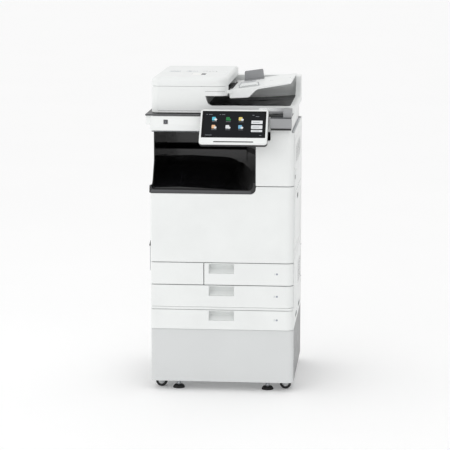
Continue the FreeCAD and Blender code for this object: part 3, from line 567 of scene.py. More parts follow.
def dress_nodes():
    """Gives every CAD node its material."""
    eased = {"white_cover": 1.2, "pedestal_paint": 1.0, "black_plastic": 0.8, "steel": 0.0, "tyre": 0.0,
             "light_grey_plastic": 0.8, "grey_plastic": 0.8, "dark_grey_plastic": 0.5, "toner_plastic": 0.6}
    special = {"output_tray": ("black_plastic", 0.8), "pedestal_front_panel": ("pedestal_paint", 0.8),
               "panel_housing": ("white_cover", 0.0), "main_frame": ("steel", 0.0),
               "scanner_top_frame": ("dark_grey_plastic", 0.6), "document_guide_rear": ("grey_plastic", 0.6),
               "cassette_tray_1": ("dark_grey_plastic", 0.4), "cassette_tray_2": ("dark_grey_plastic", 0.4),
               "cassette_tray_3": ("dark_grey_plastic", 0.4), "feeder_exit_tray": ("black_grained", 0.6),
               "left_cover": ("white_cover", 0.6), "right_cover": ("white_cover", 0.6),
               "bypass_tray": ("white_cover", 0.6), "rear_cover": ("white_cover", 0.0),
               "circuit_boards": ("circuit_board", 0.0)}
    for part in frame["record"]["subparts"]:
        node = part["node"]
        name = part["material_slot"]
        dress(node, *special.get(node, (name, eased.get(name, 0.0))))
    paint("circuit_boards", "steel", lambda x, y, z: z < 525)
    paint("circuit_boards", "black_grained", lambda x, y, z: y > (276.5 if z < 525 else 242.5))
    paint("circuit_boards", "steel", lambda x, y, z: -41 < x < 1 and 689 < z < 741 and y > 242.5)
    paint("adjuster_left", "steel", lambda x, y, z: z > 11.2)
    paint("adjuster_right", "steel", lambda x, y, z: z > 11.2)
    paint("side_grip", "black_grained", lambda x, y, z: z > 555)
    paint("panel_housing", "grey_plastic", lambda x, y, z: x > 183.3)
    # Side faces of the cabinet take the darker grey, which is painted shade.
    paint("pedestal_cabinet", "pedestal_side", lambda x, y, z: abs(x) > 281)
    for number in range(1, 5):
        paint("drum_%d" % number, "steel", lambda x, y, z: y < -240.5 or y > 180.5)
        paint("drum_%d" % number, "black_grained", lambda x, y, z: 169.5 < y < 180.5)
    for node in ("heat_roller", "pressure_roller"):
        paint(node, "steel", lambda x, y, z: y < -225.4 or y > 190.4)


# ---------------------------------------------------------------------------------------------------------
# Pieces
# ---------------------------------------------------------------------------------------------------------
def block(x0, x1, y0, y1, z0, z1):
    """Axis-aligned block as an item for prisms()."""
    return ([(x0, y0), (x1, y0), (x1, y1), (x0, y1)], "z", z0, z1)


def slab(x0, x1, y0, y1, z0, z1, axis, radius=2.0):
    """Block with rounded corners seen along an axis, as an item for prisms()."""
    lines = {"z": ((x0, x1, y0, y1), (z0, z1)), "y": ((x0, x1, z0, z1), (y0, y1)),
             "x": ((y0, y1, z0, z1), (x0, x1))}
    sides, reach = lines[axis]
    return (rounded(*sides, radius), axis, *reach)


def ink(x0, x1, y0, y1, face):
    """Mark printed on a level face at z, as an item for prisms()."""
    return block(x0, x1, y0, y1, face - 0.05, face + 0.08)


def screw_head(name, axis, u, v, w, out, body, radius=3.5):
    """Domed screw head with a cross recess, standing out of a face at w in direction out."""
    side = [(1, 0), (1, 0.8), (0.7, 1.5), (0.25, 1.7)]
    dome = lathe(name, axis, u, v, [(radius * r, w + out * h) for r, h in side], "screw_steel", 24)
    arms = []
    for a, b in ((radius * 0.6, radius * 0.14), (radius * 0.14, radius * 0.6)):
        arms.append(([(u - a, v - b), (u + a, v - b), (u + a, v + b), (u - a, v + b)], axis,
                     w + out * 1.0, w + out * 1.78))
    cross = prisms(name + "_recess", arms, "seam_shadow", 0)
    return fit(joined(name, [dome, cross]), body)


def louvres(name, axis, u0, u1, v0, v1, w, out, body, count):
    """Field of ventilation slats on a cover's face at w, with dark gaps between them."""
    back = prisms(name + "_dark", [(rounded(u0, u1, v0, v1, 3), axis, w, w + out * 0.25)], "seam_shadow", 0)
    slats = []
    pitch = (v1 - v0) / count
    for k in range(count):
        low = v0 + pitch * k + pitch * 0.28
        high = v0 + pitch * (k + 1) - pitch * 0.12
        slats.append((rounded(u0 + 3, u1 - 3, low, high, 1.5), axis, w, w + out * 0.95))
    cover = prisms(name, slats, "white_cover", 0.3)
    rim = bezel(name + "_rim", rounded(u0 - 2, u1 + 2, v0 - 2, v1 + 2, 5), rounded(u0, u1, v0, v1, 3), axis,
                w, w + out * 0.8, "white_cover")
    return fit(joined(name, [cover, back, rim]), body)


STROKES = {1: "bc", 2: "abged", 3: "abgcd", 4: "fgbc"}


def digit(number, x, z, height, y0, y1):
    """Items for one printed numeral made of short strokes."""
    w = height * 0.5
    t = height * 0.11
    lines = {"a": (0, w, height - t, height), "g": (0, w, (height - t) / 2, (height + t) / 2),
             "d": (0, w, 0, t), "b": (w - t, w, height / 2, height), "c": (w - t, w, 0, height / 2),
             "f": (0, t, height / 2, height), "e": (0, t, 0, height / 2)}
    items = []
    for stroke in STROKES[number]:
        u0, u1, v0, v1 = lines[stroke]
        items.append((rounded(x + u0, x + u1, z + v0, z + v1, t / 3, 2), "y", y0, y1))
    return items


def pedestal_pieces():
    """Washers, caster plates, hub caps, foot threads and the slots and screws of the pedestal."""
    for k, (x, y) in enumerate(((250, -228), (188, 250)), 1):
        pedestal.ring("pin_washer_%d" % k, "z", x, y, 3.55, 4.8, 251.0, 252.6, "pin_steel")
    for k in range(1, 5):
        caster_pieces(k)
    for side in ("left", "right"):
        foot_pieces(side)
    right, back, _ = span("pedestal_cabinet")[1]
    z0, z1, radius = 128, 172, 1.9
    for k, (y0, y1) in enumerate(((-276, -272), (-266, -262))):
        slot = [prisms("slot", [slab(right - 1, right + 0.15, y0, y1, z0, z1, "x", radius)], "seam_shadow",
                       0), bezel("edge", rounded(y0 - 1.2, y1 + 1.2, z0 - 1.2, z1 + 1.2, 3),
                                 rounded(y0, y1, z0, z1, radius), "x", right - 0.5, right + 0.4,
                                 "pedestal_paint")]
        pedestal.joined("side_slot_%d" % k, slot)
    places = [(x, z) for z in (60, 230) for x in (-262, 262)] + [(0, 60), (0, 230)]
    for k, (x, z) in enumerate(places):
        screw_head("pedestal_screw_%d" % k, "y", x, z, back, 1, "pedestal")
    pedestal.bezel("pedestal_rear_panel", rounded(-240, 240, 90, 215, 12), rounded(-236, 236, 94, 211, 9),
                   "y", back - 0.2, back + 0.6, "pedestal_paint")
    pedestal.prisms(
        "pedestal_floor_beads", [slab(-200, 200, y, y + 14, 79, 79.4, "z", 6) for y in (-120, -20, 80)],
        "pedestal_paint", 0.4)


def caster_pieces(number):
    """Fixing plate with bolts, axle caps and hub discs of one caster."""
    low, high = span("caster_fork_%d" % number)
    wheel_low, wheel_high = span("caster_wheel_%d" % number)
    axle = ((wheel_low[0] + wheel_high[0]) / 2, (wheel_low[2] + wheel_high[2]) / 2)
    y = (low[1] + high[1]) / 2
    x = axle[0] - math.copysign(17, axle[0])
    plate = bezel("plate", rounded(x - 30, x + 30, y - 30, y + 30, 6), circle(x, y, 7.5, 24), "z", 78.2,
                  80.0, "steel")
    bolts = [lathe("bolt", "z", x + a, y + b, [(4.5, 78.4), (4.5, 75.2), (3.6, 74.2)], "screw_steel", 6)
             for a in (-23, 23) for b in (-23, 23)]
    pedestal.joined("caster_plate_%d" % number, [plate] + bolts)
    fork = Rider("caster_%d_fork" % number)
    wheel = Rider("caster_%d_wheel" % number)
    cap = [(7.6, -1.5), (7.6, -0.1), (6.8, 0.7), (4.6, 0.8), (4, 0.1), (1, 0)]
    hub = [(4.3, -0.5), (12.6, -0.5), (12.6, 0.15), (11.8, 0.45), (9, 0.2), (4.3, 0.2)]
    for side, out, cheek, rim in (("front", -1, low[1], wheel_low[1]), ("back", 1, high[1], wheel_high[1])):
        name = "%s_%d" % (side, number)
        fork.lathe("caster_cap_" + name, "y", *axle, [(r, cheek + out * w) for r, w in cap],
                   "light_grey_plastic", 36)
        wheel.lathe("hub_" + name, "y", *axle, [(r, rim + out * w) for r, w in hub], "light_grey_plastic",
                    40, True)


def foot_pieces(side):
    """Thread, grip ribs and lock nut of one screw-down foot."""
    node = "adjuster_" + side
    foot = Rider(node)
    low, high = span(node)
    x, y = (low[0] + high[0]) / 2, (low[1] + high[1]) / 2
    root, crest, pitch = 5.05, 5.27, 2.4
    thread = [(root, 22.0)]
    for k in range(22):
        thread += [(root, 22.4 + pitch * k), (crest, 23.6 + pitch * k)]
    foot.lathe("foot_thread_" + side, "z", x, y, thread, "steel", 28)
    grips = [[(x + r * math.cos(a), y + r * math.sin(a)) for r, a in
              ((21.0, t - 0.05), (22.6, t - 0.05), (22.6, t + 0.05), (21.0, t + 0.05))]
             for t in (math.radians(15 * k) for k in range(24))]
    foot.prisms("foot_grip_" + side, [(line, "z", 1.0, 6.5) for line in grips], "black_rubber", 0.3)
    foot.ring("foot_nut_" + side, "z", x, y, 5.1, 8.6, 21.0, 22.0, "steel")


def cover_pieces():
    """What sits on the fixed outer covers: vents, side grips, hood, rear ports, screws and seams."""
    left = span("left_cover")[0][0]
    right = span("right_cover")[1][0]
    back = span("rear_cover")[1][1]
    louvres("left_vents", "x", 60, 240, 640, 730, left, -1, "main_unit", 10)
    louvres("left_vents_low", "x", 60, 240, 380, 440, left, -1, "main_unit", 7)
    louvres("right_vents", "x", 20, 200, 380, 470, right, 1, "main_unit", 10)
    for side, face, out in (("left", left, -1), ("right", right, 1)):
        for k, y in enumerate((-110, 110)):
            pit = rounded(y - 55, y + 55, 272, 300, 8)
            lip = rounded(y - 55, y + 55, 288, 300, 5)
            grip = [prism("pit", pit, "x", face, face + out * 0.2, "seam_shadow", 0),
                    prism("lip", lip, "x", face, face + out * 0.9, "white_rough", 0.3),
                    bezel("rim", rounded(y - 58, y + 58, 269, 303, 10), pit, "x", face, face + out,
                          "white_cover")]
            unit.joined("lift_grip_%s_%d" % (side, k), grip)
    low, high = span("side_grip")
    hood = [(left - 0.3, 555.2), (-306.6, 557.3), (-306.8, 562.2), (-298.3, 594.5), (left - 0.3, 596.3)]
    unit.prism("grip_hood", hood, "y", low[1] - 0.5, high[1] + 0.5, "black_grained", 0.4)
    ribs = [block(-305.4, -303.0, y, y + 2, 462, 545) for y in range(-142, -66, 12)]
    unit.prisms("grip_ribs", ribs, "light_grey_plastic", 0.4)
    unit.prism("grip_shadow_gap", rounded(-303.5, left - 0.5, low[1] + 4, high[1] - 4, 2), "z", 453.6, 455.2,
              "seam_shadow", 0)
    ports = [prisms("ports_plate", [slab(70, 200, back - 2, back + 0.5, 880, 968, "y", 5)],
                    "light_grey_plastic", 0.3)]
    for x, z, wide, tall in ((84, 936, 16, 14), (112, 936, 14, 6), (140, 936, 14, 6), (84, 900, 34, 12),
                             (136, 900, 12, 11), (166, 900, 20, 8)):
        ports.append(prisms("port", [slab(x, x + wide, back, back + 0.9, z, z + tall, "y", 1.2)],
                            "black_grained", 0.2))
        ports.append(bezel("port_rim", rounded(x - 1.2, x + wide + 1.2, z - 1.2, z + tall + 1.2, 2),
                           rounded(x, x + wide, z, z + tall, 1.2), "y", back, back + 1.3, "screw_steel", 0.2))
    unit.joined("rear_ports", ports)
    unit.bezel("rear_inlet_rim", rounded(-219, -161, 381, 417, 5), rounded(-216.5, -163.5, 383.5, 414.5, 4),
               "y", back - 1, back + 1.2, "black_grained")
    unit.prisms("rear_handholds", [slab(x, x + 90, back, back + 0.8, 560, 584, "y", 9) for x in (-230, 140)],
               "white_rough", 0.3)
    unit.prisms("rear_seam", [block(-280, 280, back, back + 0.2, 598, 599.6)], "seam_shadow", 0)
    unit.prism("column_cover", rounded(-150, 204.6, 797.5, 1034, 12), "x", -282.5, -281.3, "white_cover", 0.5)
    unit.prisms("column_seam", [block(-282.55, -282.4, -140, 200, 838, 839.2)], "seam_shadow", 0)
    for k, z in enumerate((365, 500)):
        screw_head("left_screw_%d" % k, "x", 262, z, left, -1, "main_unit")
        screw_head("right_screw_%d" % k, "x", 262, z, right, 1, "main_unit")


def drawer_pieces():
    """Numerals, sheets, guides and rails of the three paper drawers."""
    sheet_width, wall, rib_pitch = 290, 3.4, 35
    for k in range(1, 4):
        low, high = span("cassette_front_%d" % k)
        tray_low, tray_high = span("cassette_tray_%d" % k)
        drawer = Rider("cassette_%d" % k)
        face = low[1]
        middle = (low[2] + high[2]) / 2
        mark = digit(k, 205, middle - 1, 7, face - 0.12, face + 0.05)
        mark.append((rounded(213, 221, middle - 1, middle + 6, 1), "y", face - 0.10, face + 0.05))
        drawer.prisms("drawer_mark_%d" % k, mark, "ink_grey", 0)
        x0, x1 = tray_low[0] + wall, tray_high[0] - wall
        y0, y1 = span("main_frame")[0][1] + 17.6, tray_high[1] - wall
        floor = tray_low[2] + 3.2
        right = x1 - 6
        left = max(x0 + 6, right - sheet_width)
        drawer.prisms("lift_plate_%d" % k,
                      [slab(left + 1, right - 1, y0 + 30, y1 - 40, floor, floor + 1.4, "z", 4)], "steel", 0.3)
        reams = [slab(left + 3, right - 3, y0 + 34, y1 - 46, floor + z, floor + z + 7.7, "z", 0.5)
                 for z in (1.6, 9.6, 17.6, 25.6, 33.6)]
        drawer.prisms("paper_%d" % k, reams, "paper", 0.15)
        guides = []
        for x, inward in ((left, 1), (right, -1)):
            for reach, start, end, tall in ((inward * 2, 70, 130, 54), (inward * -5, 92, 108, 48)):
                near, far = sorted((x, x + reach))
                guides.append(block(near, far, y0 + start, y0 + end, floor, floor + tall))
        drawer.prisms("size_guides_%d" % k, guides, "green_grip", 0.5)
        x = (left + right) / 2
        stop = [block(x - 25, x + 25, y1 - 44, y1 - 41, floor, floor + 54),
                block(x - 10, x + 10, y1 - 41, y1 - 20, floor, floor + 20)]
        drawer.prisms("end_guide_%d" % k, stop, "blue_grip", 0.5)
        rails = [block(a, b, -255, 205, tray_low[2] + 30, tray_low[2] + 36)
                 for a, b in ((tray_low[0] - 1.8, tray_low[0]), (tray_high[0], tray_high[0] + 1.8))]
        drawer.prisms("rails_%d" % k, rails, "screw_steel", 0.3)
        ribs = [block(tray_low[0] + 3, tray_high[0] - 3, y, y + 1.5, floor - 0.2, floor + 0.8)
                for y in range(-230, 190, rib_pitch)]
        drawer.prisms("tray_ribs_%d" % k, ribs, "dark_grey_plastic", 0.2)


def door_pieces():
    """Inside of the front door, the right door's details and the bypass tray's guides."""
    low, high = span("front_door")
    inner = low[1] + 3
    grid = [block(x, x + 1.6, inner, inner + 5, low[2] + 26, 786) for x in range(-250, 245, 62)]
    grid += [block(-268, 248, inner, inner + 4, z, z + 1.6) for z in (600, 660, 720)]
    front_door.prisms("door_ribs", grid, "white_rough", 0.4)
    chart = [block(-60, 40, inner + 4.2, inner + 5.2, 610, 650)]
    front_door.prisms("door_chart", chart, "light_grey_plastic", 0.3)
    steps = []
    for k in range(3):
        x = -54 + 31 * k
        steps.append(slab(x, x + 26, inner + 5.2, inner + 5.35, 616, 644, "y", 2))
    front_door.prisms("door_chart_steps", steps, "ink_grey", 0)
    for k, x in enumerate((-262, 236)):
        front_door.prisms(
            "door_strap_%d" % k, [block(x, x + 9, -300, -290.4, low[2] + 8, low[2] + 60)], "steel", 0.6)
    for k, x in enumerate((-150, 120)):
        front_door.prisms(
            "door_catch_%d" % k, [block(x, x + 18, -300, -288.5, 776, 784)], "black_grained", 0.8)
    face = span("right_door")[1][0] - 5.5
    louvres("door_vents", "x", -190, 150, 905, 975, face, 1, "right_door", 8)
    seams = [(rounded(-230, -228.8, 545, 985, 0.5, 2), "x", face - 0.2, face + 0.12),
             (rounded(-230, 190, 788, 789.2, 0.5, 2), "x", face - 0.2, face + 0.12)]
    side_door.prisms("door_seams", seams, "seam_shadow", 0)
    side_door.prisms(
        "door_pull_cup", [slab(face, face + 0.3, -246, -207, 846, 865, "x", 6)], "seam_shadow", 0)
    guides = [block(264.2, 266, y, y + 3, 535, 990) for y in range(-230, 190, 42)]
    side_door.prisms("door_paper_guides", guides, "dark_grey_plastic", 0.4)
    low, high = span("bypass_tray")
    face = high[0]
    notch = [prisms("notch", [(rounded(-55, 15, 742, 760, 7), "x", face, face + 0.2)], "seam_shadow", 0),
             bezel("notch_rim", rounded(-58, 18, 739, 761.4, 9), rounded(-55, 15, 742, 760, 7), "x", face,
                   face + 0.5, "white_rough", 0.2)]
    bypass.joined("bypass_notch", notch)
    inside = low[0] + 7
    bypass.prisms("bypass_guides", [block(inside - 5, inside, y, y + 3, 590, 640) for y in (-110, 80)],
                  "green_grip", 0.6)
    bypass.prisms(
        "bypass_ribs", [block(inside - 1, inside, y, y + 2, 600, 748) for y in range(-170, 140, 40)],
        "white_rough", 0.3)
    extension = [slab(inside - 2.4, inside, -60, 20, 660, 746, "x", 5)]
    bypass.prisms("bypass_extension", extension, "light_grey_plastic", 0.5)
    struts = [block(274, 276.5, y, y + 8, 572, 640) for y in (-188, 140)]
    bypass.prisms("bypass_struts", struts, "steel", 0.4)


def engine_pieces():
    """Print engine behind the doors: labels, levers, covers, gears, fan, guides and cables."""
    inner_cover_pieces()
    image_pieces()
    fixing_pieces()
    drive_pieces()


def inner_cover_pieces():
    """What sits on the inner cover behind the front door: toner ports, locks, waste box and switch."""
    face = -284
    toners = (("yellow", "yellow", -195), ("magenta", "magenta", -105), ("cyan", "cyan", -15),
              ("black", "ink_dark", 75))
    for name, colour, x in toners:
        unit.prisms("toner_label_" + name, [slab(x - 18, x + 18, face - 3.4, face - 2.9, 752, 766, "y", 3)],
                    colour, 0.1)
        grips = [slab(x - 14, x + 14, face - 4.2, face - 2.9, z, z + 5, "y", 2) for z in (729, 738)]
        unit.prisms("toner_grip_" + name, grips, "black_grained", 0.4)
        unit.bezel("toner_port_" + name, rounded(x - 36.5, x + 36.5, 705, 787, 10),
                   rounded(x - 33.3, x + 33.3, 708.2, 783.8, 8), "y", face - 1.4, face + 0.1, "white_rough")
        knob = [(11, face), (11, face - 3), (9.5, face - 4.2), (4, face - 4.4)]
        unit.lathe("drum_lock_" + name, "y", x + 25, 675, knob, "green_grip", 32)
        bar = slab(x + 17, x + 33, face - 7, face - 4.2, 672.5, 677.5, "y", 2)
        unit.prisms("drum_lock_bar_" + name, [bar], "green_grip", 0.6)
        unit.prisms("laser_cleaner_" + name, [slab(x + 19, x + 31, face - 2.5, face + 0.2, 571, 583, "y", 4)],
                    "blue_grip", 0.5)
    unit.prism("waste_toner_box", rounded(-262, 205, 598, 660, 9), "y", face - 5.5, face - 0.2,
               "light_grey_plastic", 1.2)
    unit.bezel("waste_toner_box_rib", rounded(-254, 197, 604, 654, 7), rounded(-251, 194, 607, 651, 6), "y",
               face - 6.4, face - 5.2, "light_grey_plastic")
    for k, x in enumerate((-258, 188)):
        unit.prisms("waste_box_clip_%d" % k, [slab(x, x + 13, face - 9, face - 5, 618, 640, "y", 3)],
                    "blue_grip", 0.6)
    seams = [block(-268, 230, face - 0.25, face + 0.1, z, z + 1) for z in (590, 696)]
    seams += [block(x, x + 1, face - 0.25, face + 0.1, 697, 788) for x in (-150, -60, 30, 120)]
    unit.prisms("inner_cover_seams", seams, "seam_shadow", 0)
    unit.prism("main_switch", rounded(196, 214, 735, 765, 3), "y", face - 5, face, "black_grained", 1.0)
    unit.bezel("main_switch_frame", rounded(192, 218, 731, 769, 5), rounded(196.3, 213.7, 735.3, 764.7, 3),
               "y", face - 2, face + 0.1, "light_grey_plastic")


def image_pieces():
    """Transfer belt's rollers and frame, and the developer units under it."""
    for k, x in enumerate((-196, 131)):
        unit.lathe("belt_roller_%d" % (k + 1), "y", x, 669,
                   [(6, -236), (18.5, -233), (18.5, 168), (6, 172)], "steel", 32)
    unit.prisms("belt_frame", [block(-190, 125, y, y + 3, 656, 682) for y in (-236.5, 167.5)],
                "dark_grey_plastic", 0.6)
    hoods = [([(x + 17, 604), (x + 42, 604), (x + 42, 640), (x + 19, 640)], "y", -238, 166)
             for x in (-170, -80, 10, 100)]
    unit.prisms("developer_units", hoods, "toner_plastic", 1.5)


def fixing_pieces():
    """Fixing unit's shell and handles, and the guides and rollers of the paper path on the right."""
    shell = [([(168, 856), (174, 850), (174, 912), (168, 906)], "y", -222, 188)]
    shell += [([(174, z), (250, z), (250, z + 7), (174, z + 7)], "y", -222, 188) for z in (905, 848)]
    unit.prisms("fixing_shell", shell, "dark_grey_plastic", 1.0)
    unit.prisms("fixing_ends", [block(170, 256, y, y + 2.5, 846, 914) for y in (-247, 209)], "steel", 0.4)
    unit.prisms("fixing_handles", [slab(251, 258, y, y + 38, 908, 920, "y", 3) for y in (-214, 140)],
                "green_grip", 0.8)
    rows = [block(236.5, 240, y, y + 3, 540, 840) for y in range(-225, 200, 28)]
    rows.append(block(234.5, 236.6, -232, 206, 538, 842))
    unit.prisms("paper_path_guides", rows, "black_grained", 0.6)
    for k, z in enumerate((575, 640, 790)):
        shaft = [lathe("shaft", "y", 244, z, [(3, -236), (3, 212)], "pin_steel", 20)]
        for y in (-150, -50, 50, 150):
            tyre = [(6.5, y - 11), (7.5, y - 10), (7.5, y + 10), (6.5, y + 11)]
            shaft.append(lathe("tyre", "y", 244, z, tyre, "black_rubber", 24))
        unit.joined("path_roller_%d" % k, shaft)


def drive_pieces():
    """Laser unit's ribs, and the gears, motor, fan and cables at the back of the print engine."""
    unit.prisms("laser_ribs", [block(x, x + 2, -190, 180, 582, 585) for x in (-220, -125, -35, 55, 125)],
                "dark_grey_plastic", 0.5)
    for k, x in enumerate((-100, -10, 80)):
        unit.lathe("drive_gear_%d" % k, "y", x, 640, gear_profile(26, 238.5, 5), "light_grey_plastic", 48)
    unit.lathe("drive_motor", "y", 150, 700, [(30, 235.5), (30, 262), (26, 266), (8, 267)], "black_grained",
               40)
    fan_x, fan_z, blades = -145, 910, 7
    fan = [bezel("fan_case", rounded(fan_x - 30, fan_x + 30, fan_z - 30, fan_z + 30, 6),
                 circle(fan_x, fan_z, 27, 24), "y", 236, 258, "black_grained")]
    for k in range(blades):
        a = 2 * math.pi * k / blades
        blade = [(fan_x + r * math.cos(a + s), fan_z + r * math.sin(a + s)) for r, s in
                 ((8, -0.2), (25, 0.0), (25, 0.45), (8, 0.5))]
        fan.append(prism("blade", blade, "y", 244, 247, "black_grained", 0.4))
    fan.append(lathe("hub", "y", fan_x, fan_z, [(9, 240), (9, 252)], "black_grained", 24))
    unit.joined("rear_fan", fan)
    for k, (x, y, colour) in enumerate(((-60, 250, "ink_dark"), (-20, 246, "cyan"), (40, 252, "magenta"))):
        route = [(x, y, 862), (x + 4, y + 6, 885), (x - 20, y + 8, 915), (x - 60, y + 2, 925 + 8 * k),
                 (-110, y, 928 + 8 * k)]
        unit.pipe("loom_%d" % k, route, 2.2, colour)
    unit.pipe("supply_lead", [(-160, 255, 522), (-158, 262, 550), (-150, 262, 600), (-148, 256, 640)], 3.0,
              "ink_dark")


def gear_profile(radius, w, thick):
    """Side view of a spur gear: hub, web and rim."""
    return [(4, w - 1), (8, w - 1), (8, w + 0.5), (radius - 4, w + 0.5), (radius - 3.5, w - 0.5),
            (radius, w - 0.5), (radius, w + thick), (radius - 3.5, w + thick),
            (radius - 4, w + thick - 1.5), (8, w + thick - 1.5), (8, w + thick + 1), (4, w + thick + 1)]


def bin_pieces():
    """Output tray: front bar, back wall's groove and panel, roller cage, sheet flags, beads and ceiling."""
    low = span("output_tray")[0]
    back, ceiling, exit_wall = 200.2, 1034.3, 129.2
    bar = [(low[0] + 4, 797), (116.5, 797), (112, 806.5), (low[0] + 6, 808.6)]
    unit.prism("bin_front_bar", bar, "y", low[1] - 0.9, low[1] + 16, "lip_grey", 1.2)
    sweep = [(-274, 934), (-180, 934), (-60, 931), (30, 924), (80, 912), (118, 892), (118, 872), (70, 894),
             (20, 904), (-70, 911), (-180, 913), (-274, 913)]
    unit.prism("bin_back_groove", sweep, "y", back - 3, back, "black_grained", 0.8)
    band = [(-274, 1026), (118, 1026), (118, 940), (30, 948), (-100, 952), (-274, 952)]
    unit.prism("bin_back_panel", band, "y", back - 2.6, back, "black_plastic", 1.4)
    ribs = [block(exit_wall - 2.6, exit_wall - 0.4, y, y + 3, z0, z1) for y, z0, z1 in
            ((-240, 850, 1010), (-120, 880, 920), (0, 890, 920), (110, 905, 920))]
    unit.prisms("bin_side_ribs", ribs, "black_plastic", 0.5)
    cage = [block(exit_wall - 1.8, exit_wall, -158, 158, z, z + 3) for z in (966, 926)]
    cage += [block(exit_wall - 2.3, exit_wall, y, y + 4, 926, 969) for y in (-92, -2, 86)]
    unit.prisms("exit_cage", cage, "dark_grey_plastic", 0.4)
    flag = [(120, 962), (127, 962), (124, 925), (118, 905), (116, 907), (120, 928)]
    for k, y in enumerate((-60, 30)):
        unit.prism("full_bin_flag_%d" % k, flag, "y", y, y + 5, "grey_plastic", 0.6)
    unit.prisms("exit_lamp", [slab(exit_wall - 2, exit_wall - 0.2, -250, -238, 985, 992, "x", 2)],
                "green_grip", 0.4)
    chevron = [(-206, 990), (-197, 1000), (-188, 990), (-191, 990), (-197, 996.6), (-203, 990)]
    unit.prisms("bin_marks", [(line, "y", back - 2.85, back - 2.55)
                              for line in (rounded(-228, -214, 990, 1002, 2), chevron)], "ink_grey", 0)
    bead = [(-276, y, 817 + 0.1446 * (y + 284)) for y in (-262, -200, -110, 0, 100, 190)]
    unit.pipe("bin_left_bead", bead, 3.5, "black_plastic")
    ribs = [block(-260, 110, y, y + 2.5, ceiling - 4.3, ceiling - 0.5) for y in range(-250, 190, 44)]
    unit.prisms("bin_ceiling_ribs", ribs, "black_grained", 0.5)
    unit.prisms("bin_ceiling", [block(-278, 126, -278, 196, ceiling - 0.7, ceiling)], "black_grained", 0.2)


def scanner_pieces():
    """Scanner: lining, rails and belt under the glass, size scale, glass rim, and power button's ring."""
    left, right, front, back, floor, ceiling = -277, 266, -291.5, 258.5, 1045, 1098
    button_gap = (-232, -210)
    lining = [block(left, right, front + 0.5, back - 0.5, floor - 1, floor),
              block(left, button_gap[0], front, front + 1.5, floor, ceiling),
              block(button_gap[1], right, front, front + 1.5, floor, ceiling),
              block(left, right, back - 1.5, back, floor, ceiling)]
    unit.prisms("scanner_lining", lining, "black_grained", 0.2)
    for k, y in enumerate((-178, 158)):
        unit.lathe("scan_rail_%d" % k, "x", y, 1050, [(3.5, -272), (3.5, 262)], "pin_steel", 24)
    unit.prisms("scan_belt", [block(-262, 250, -193, -187, z, z + 1.2) for z in (1048, 1053)],
                "black_rubber", 0.2)
    low = span("scan_carriage")[0]
    carriage.prisms("scan_lamp", [block(-251.6, -250.2, -160, 140, 1087, 1091)], "paper", 0.2)
    carriage.prisms(
        "scan_shoes", [block(-258, -236, y, y + 10, low[2] - 2, low[2] + 0.5) for y in (-184, 152)],
        "light_grey_plastic", 0.4)
    top = span("scanner_top_frame")[1][2]
    x_pitch, y_pitch = 52, 42
    ticks = [ink(-205 + x_pitch * k, -204.2 + x_pitch * k, 147.5, 154 if k % 2 else 158, top)
             for k in range(9)]
    ticks += [ink(-214, -207.5 if k % 2 else -210, 144.2 - y_pitch * k, 145 - y_pitch * k, top)
              for k in range(8)]
    ticks.append(([(-211, 150), (-217, 156), (-219, 148)], "z", top - 0.05, top + 0.08))
    unit.prisms("size_scale", ticks, "paper", 0)
    unit.bezel("glass_rim", rounded(-206.5, 236.5, -166.5, 146.5, 2), rounded(-205, 235, -165, 145, 1), "z",
               top - 0.1, top + 0.25, "black_grained", 0.1)
    unit.prisms("white_strip", [block(-230, -207.5, -150, 130, top - 0.05, top + 0.1)], "paper", 0)
    low, high = span("power_button")
    x, z = (low[0] + high[0]) / 2, (low[2] + high[2]) / 2
    unit.bezel("power_ring", rounded(x - 9.2, x + 9.2, z - 9.2, z + 9.2, 2.5),
               rounded(x - 7.5, x + 7.5, z - 7.5, z + 7.5, 1.2), "y", -301.4, -300.8, "grey_plastic", 0.15)
    outer = [(3.2, math.radians(a)) for a in range(40, 325, 15)]
    inner = [(2.4, math.radians(a)) for a in range(320, 35, -15)]
    symbol = [(x + r * math.sin(a), z + r * math.cos(a)) for r, a in outer + inner]
    bar = rounded(x - 0.4, x + 0.4, z + 0.6, z + 4, 0.3, 2)
    button.prisms("power_symbol", [(line, "y", low[1] - 0.1, low[1] + 0.1) for line in (symbol, bar)],
                  "ink_grey", 0)
    front = span("scanner_housing")[0][1]
    unit.prisms("scanner_front_seam", [block(-272, 180, front - 0.05, front + 0.1, 1097.4, 1098.6)],
                "seam_shadow", 0)


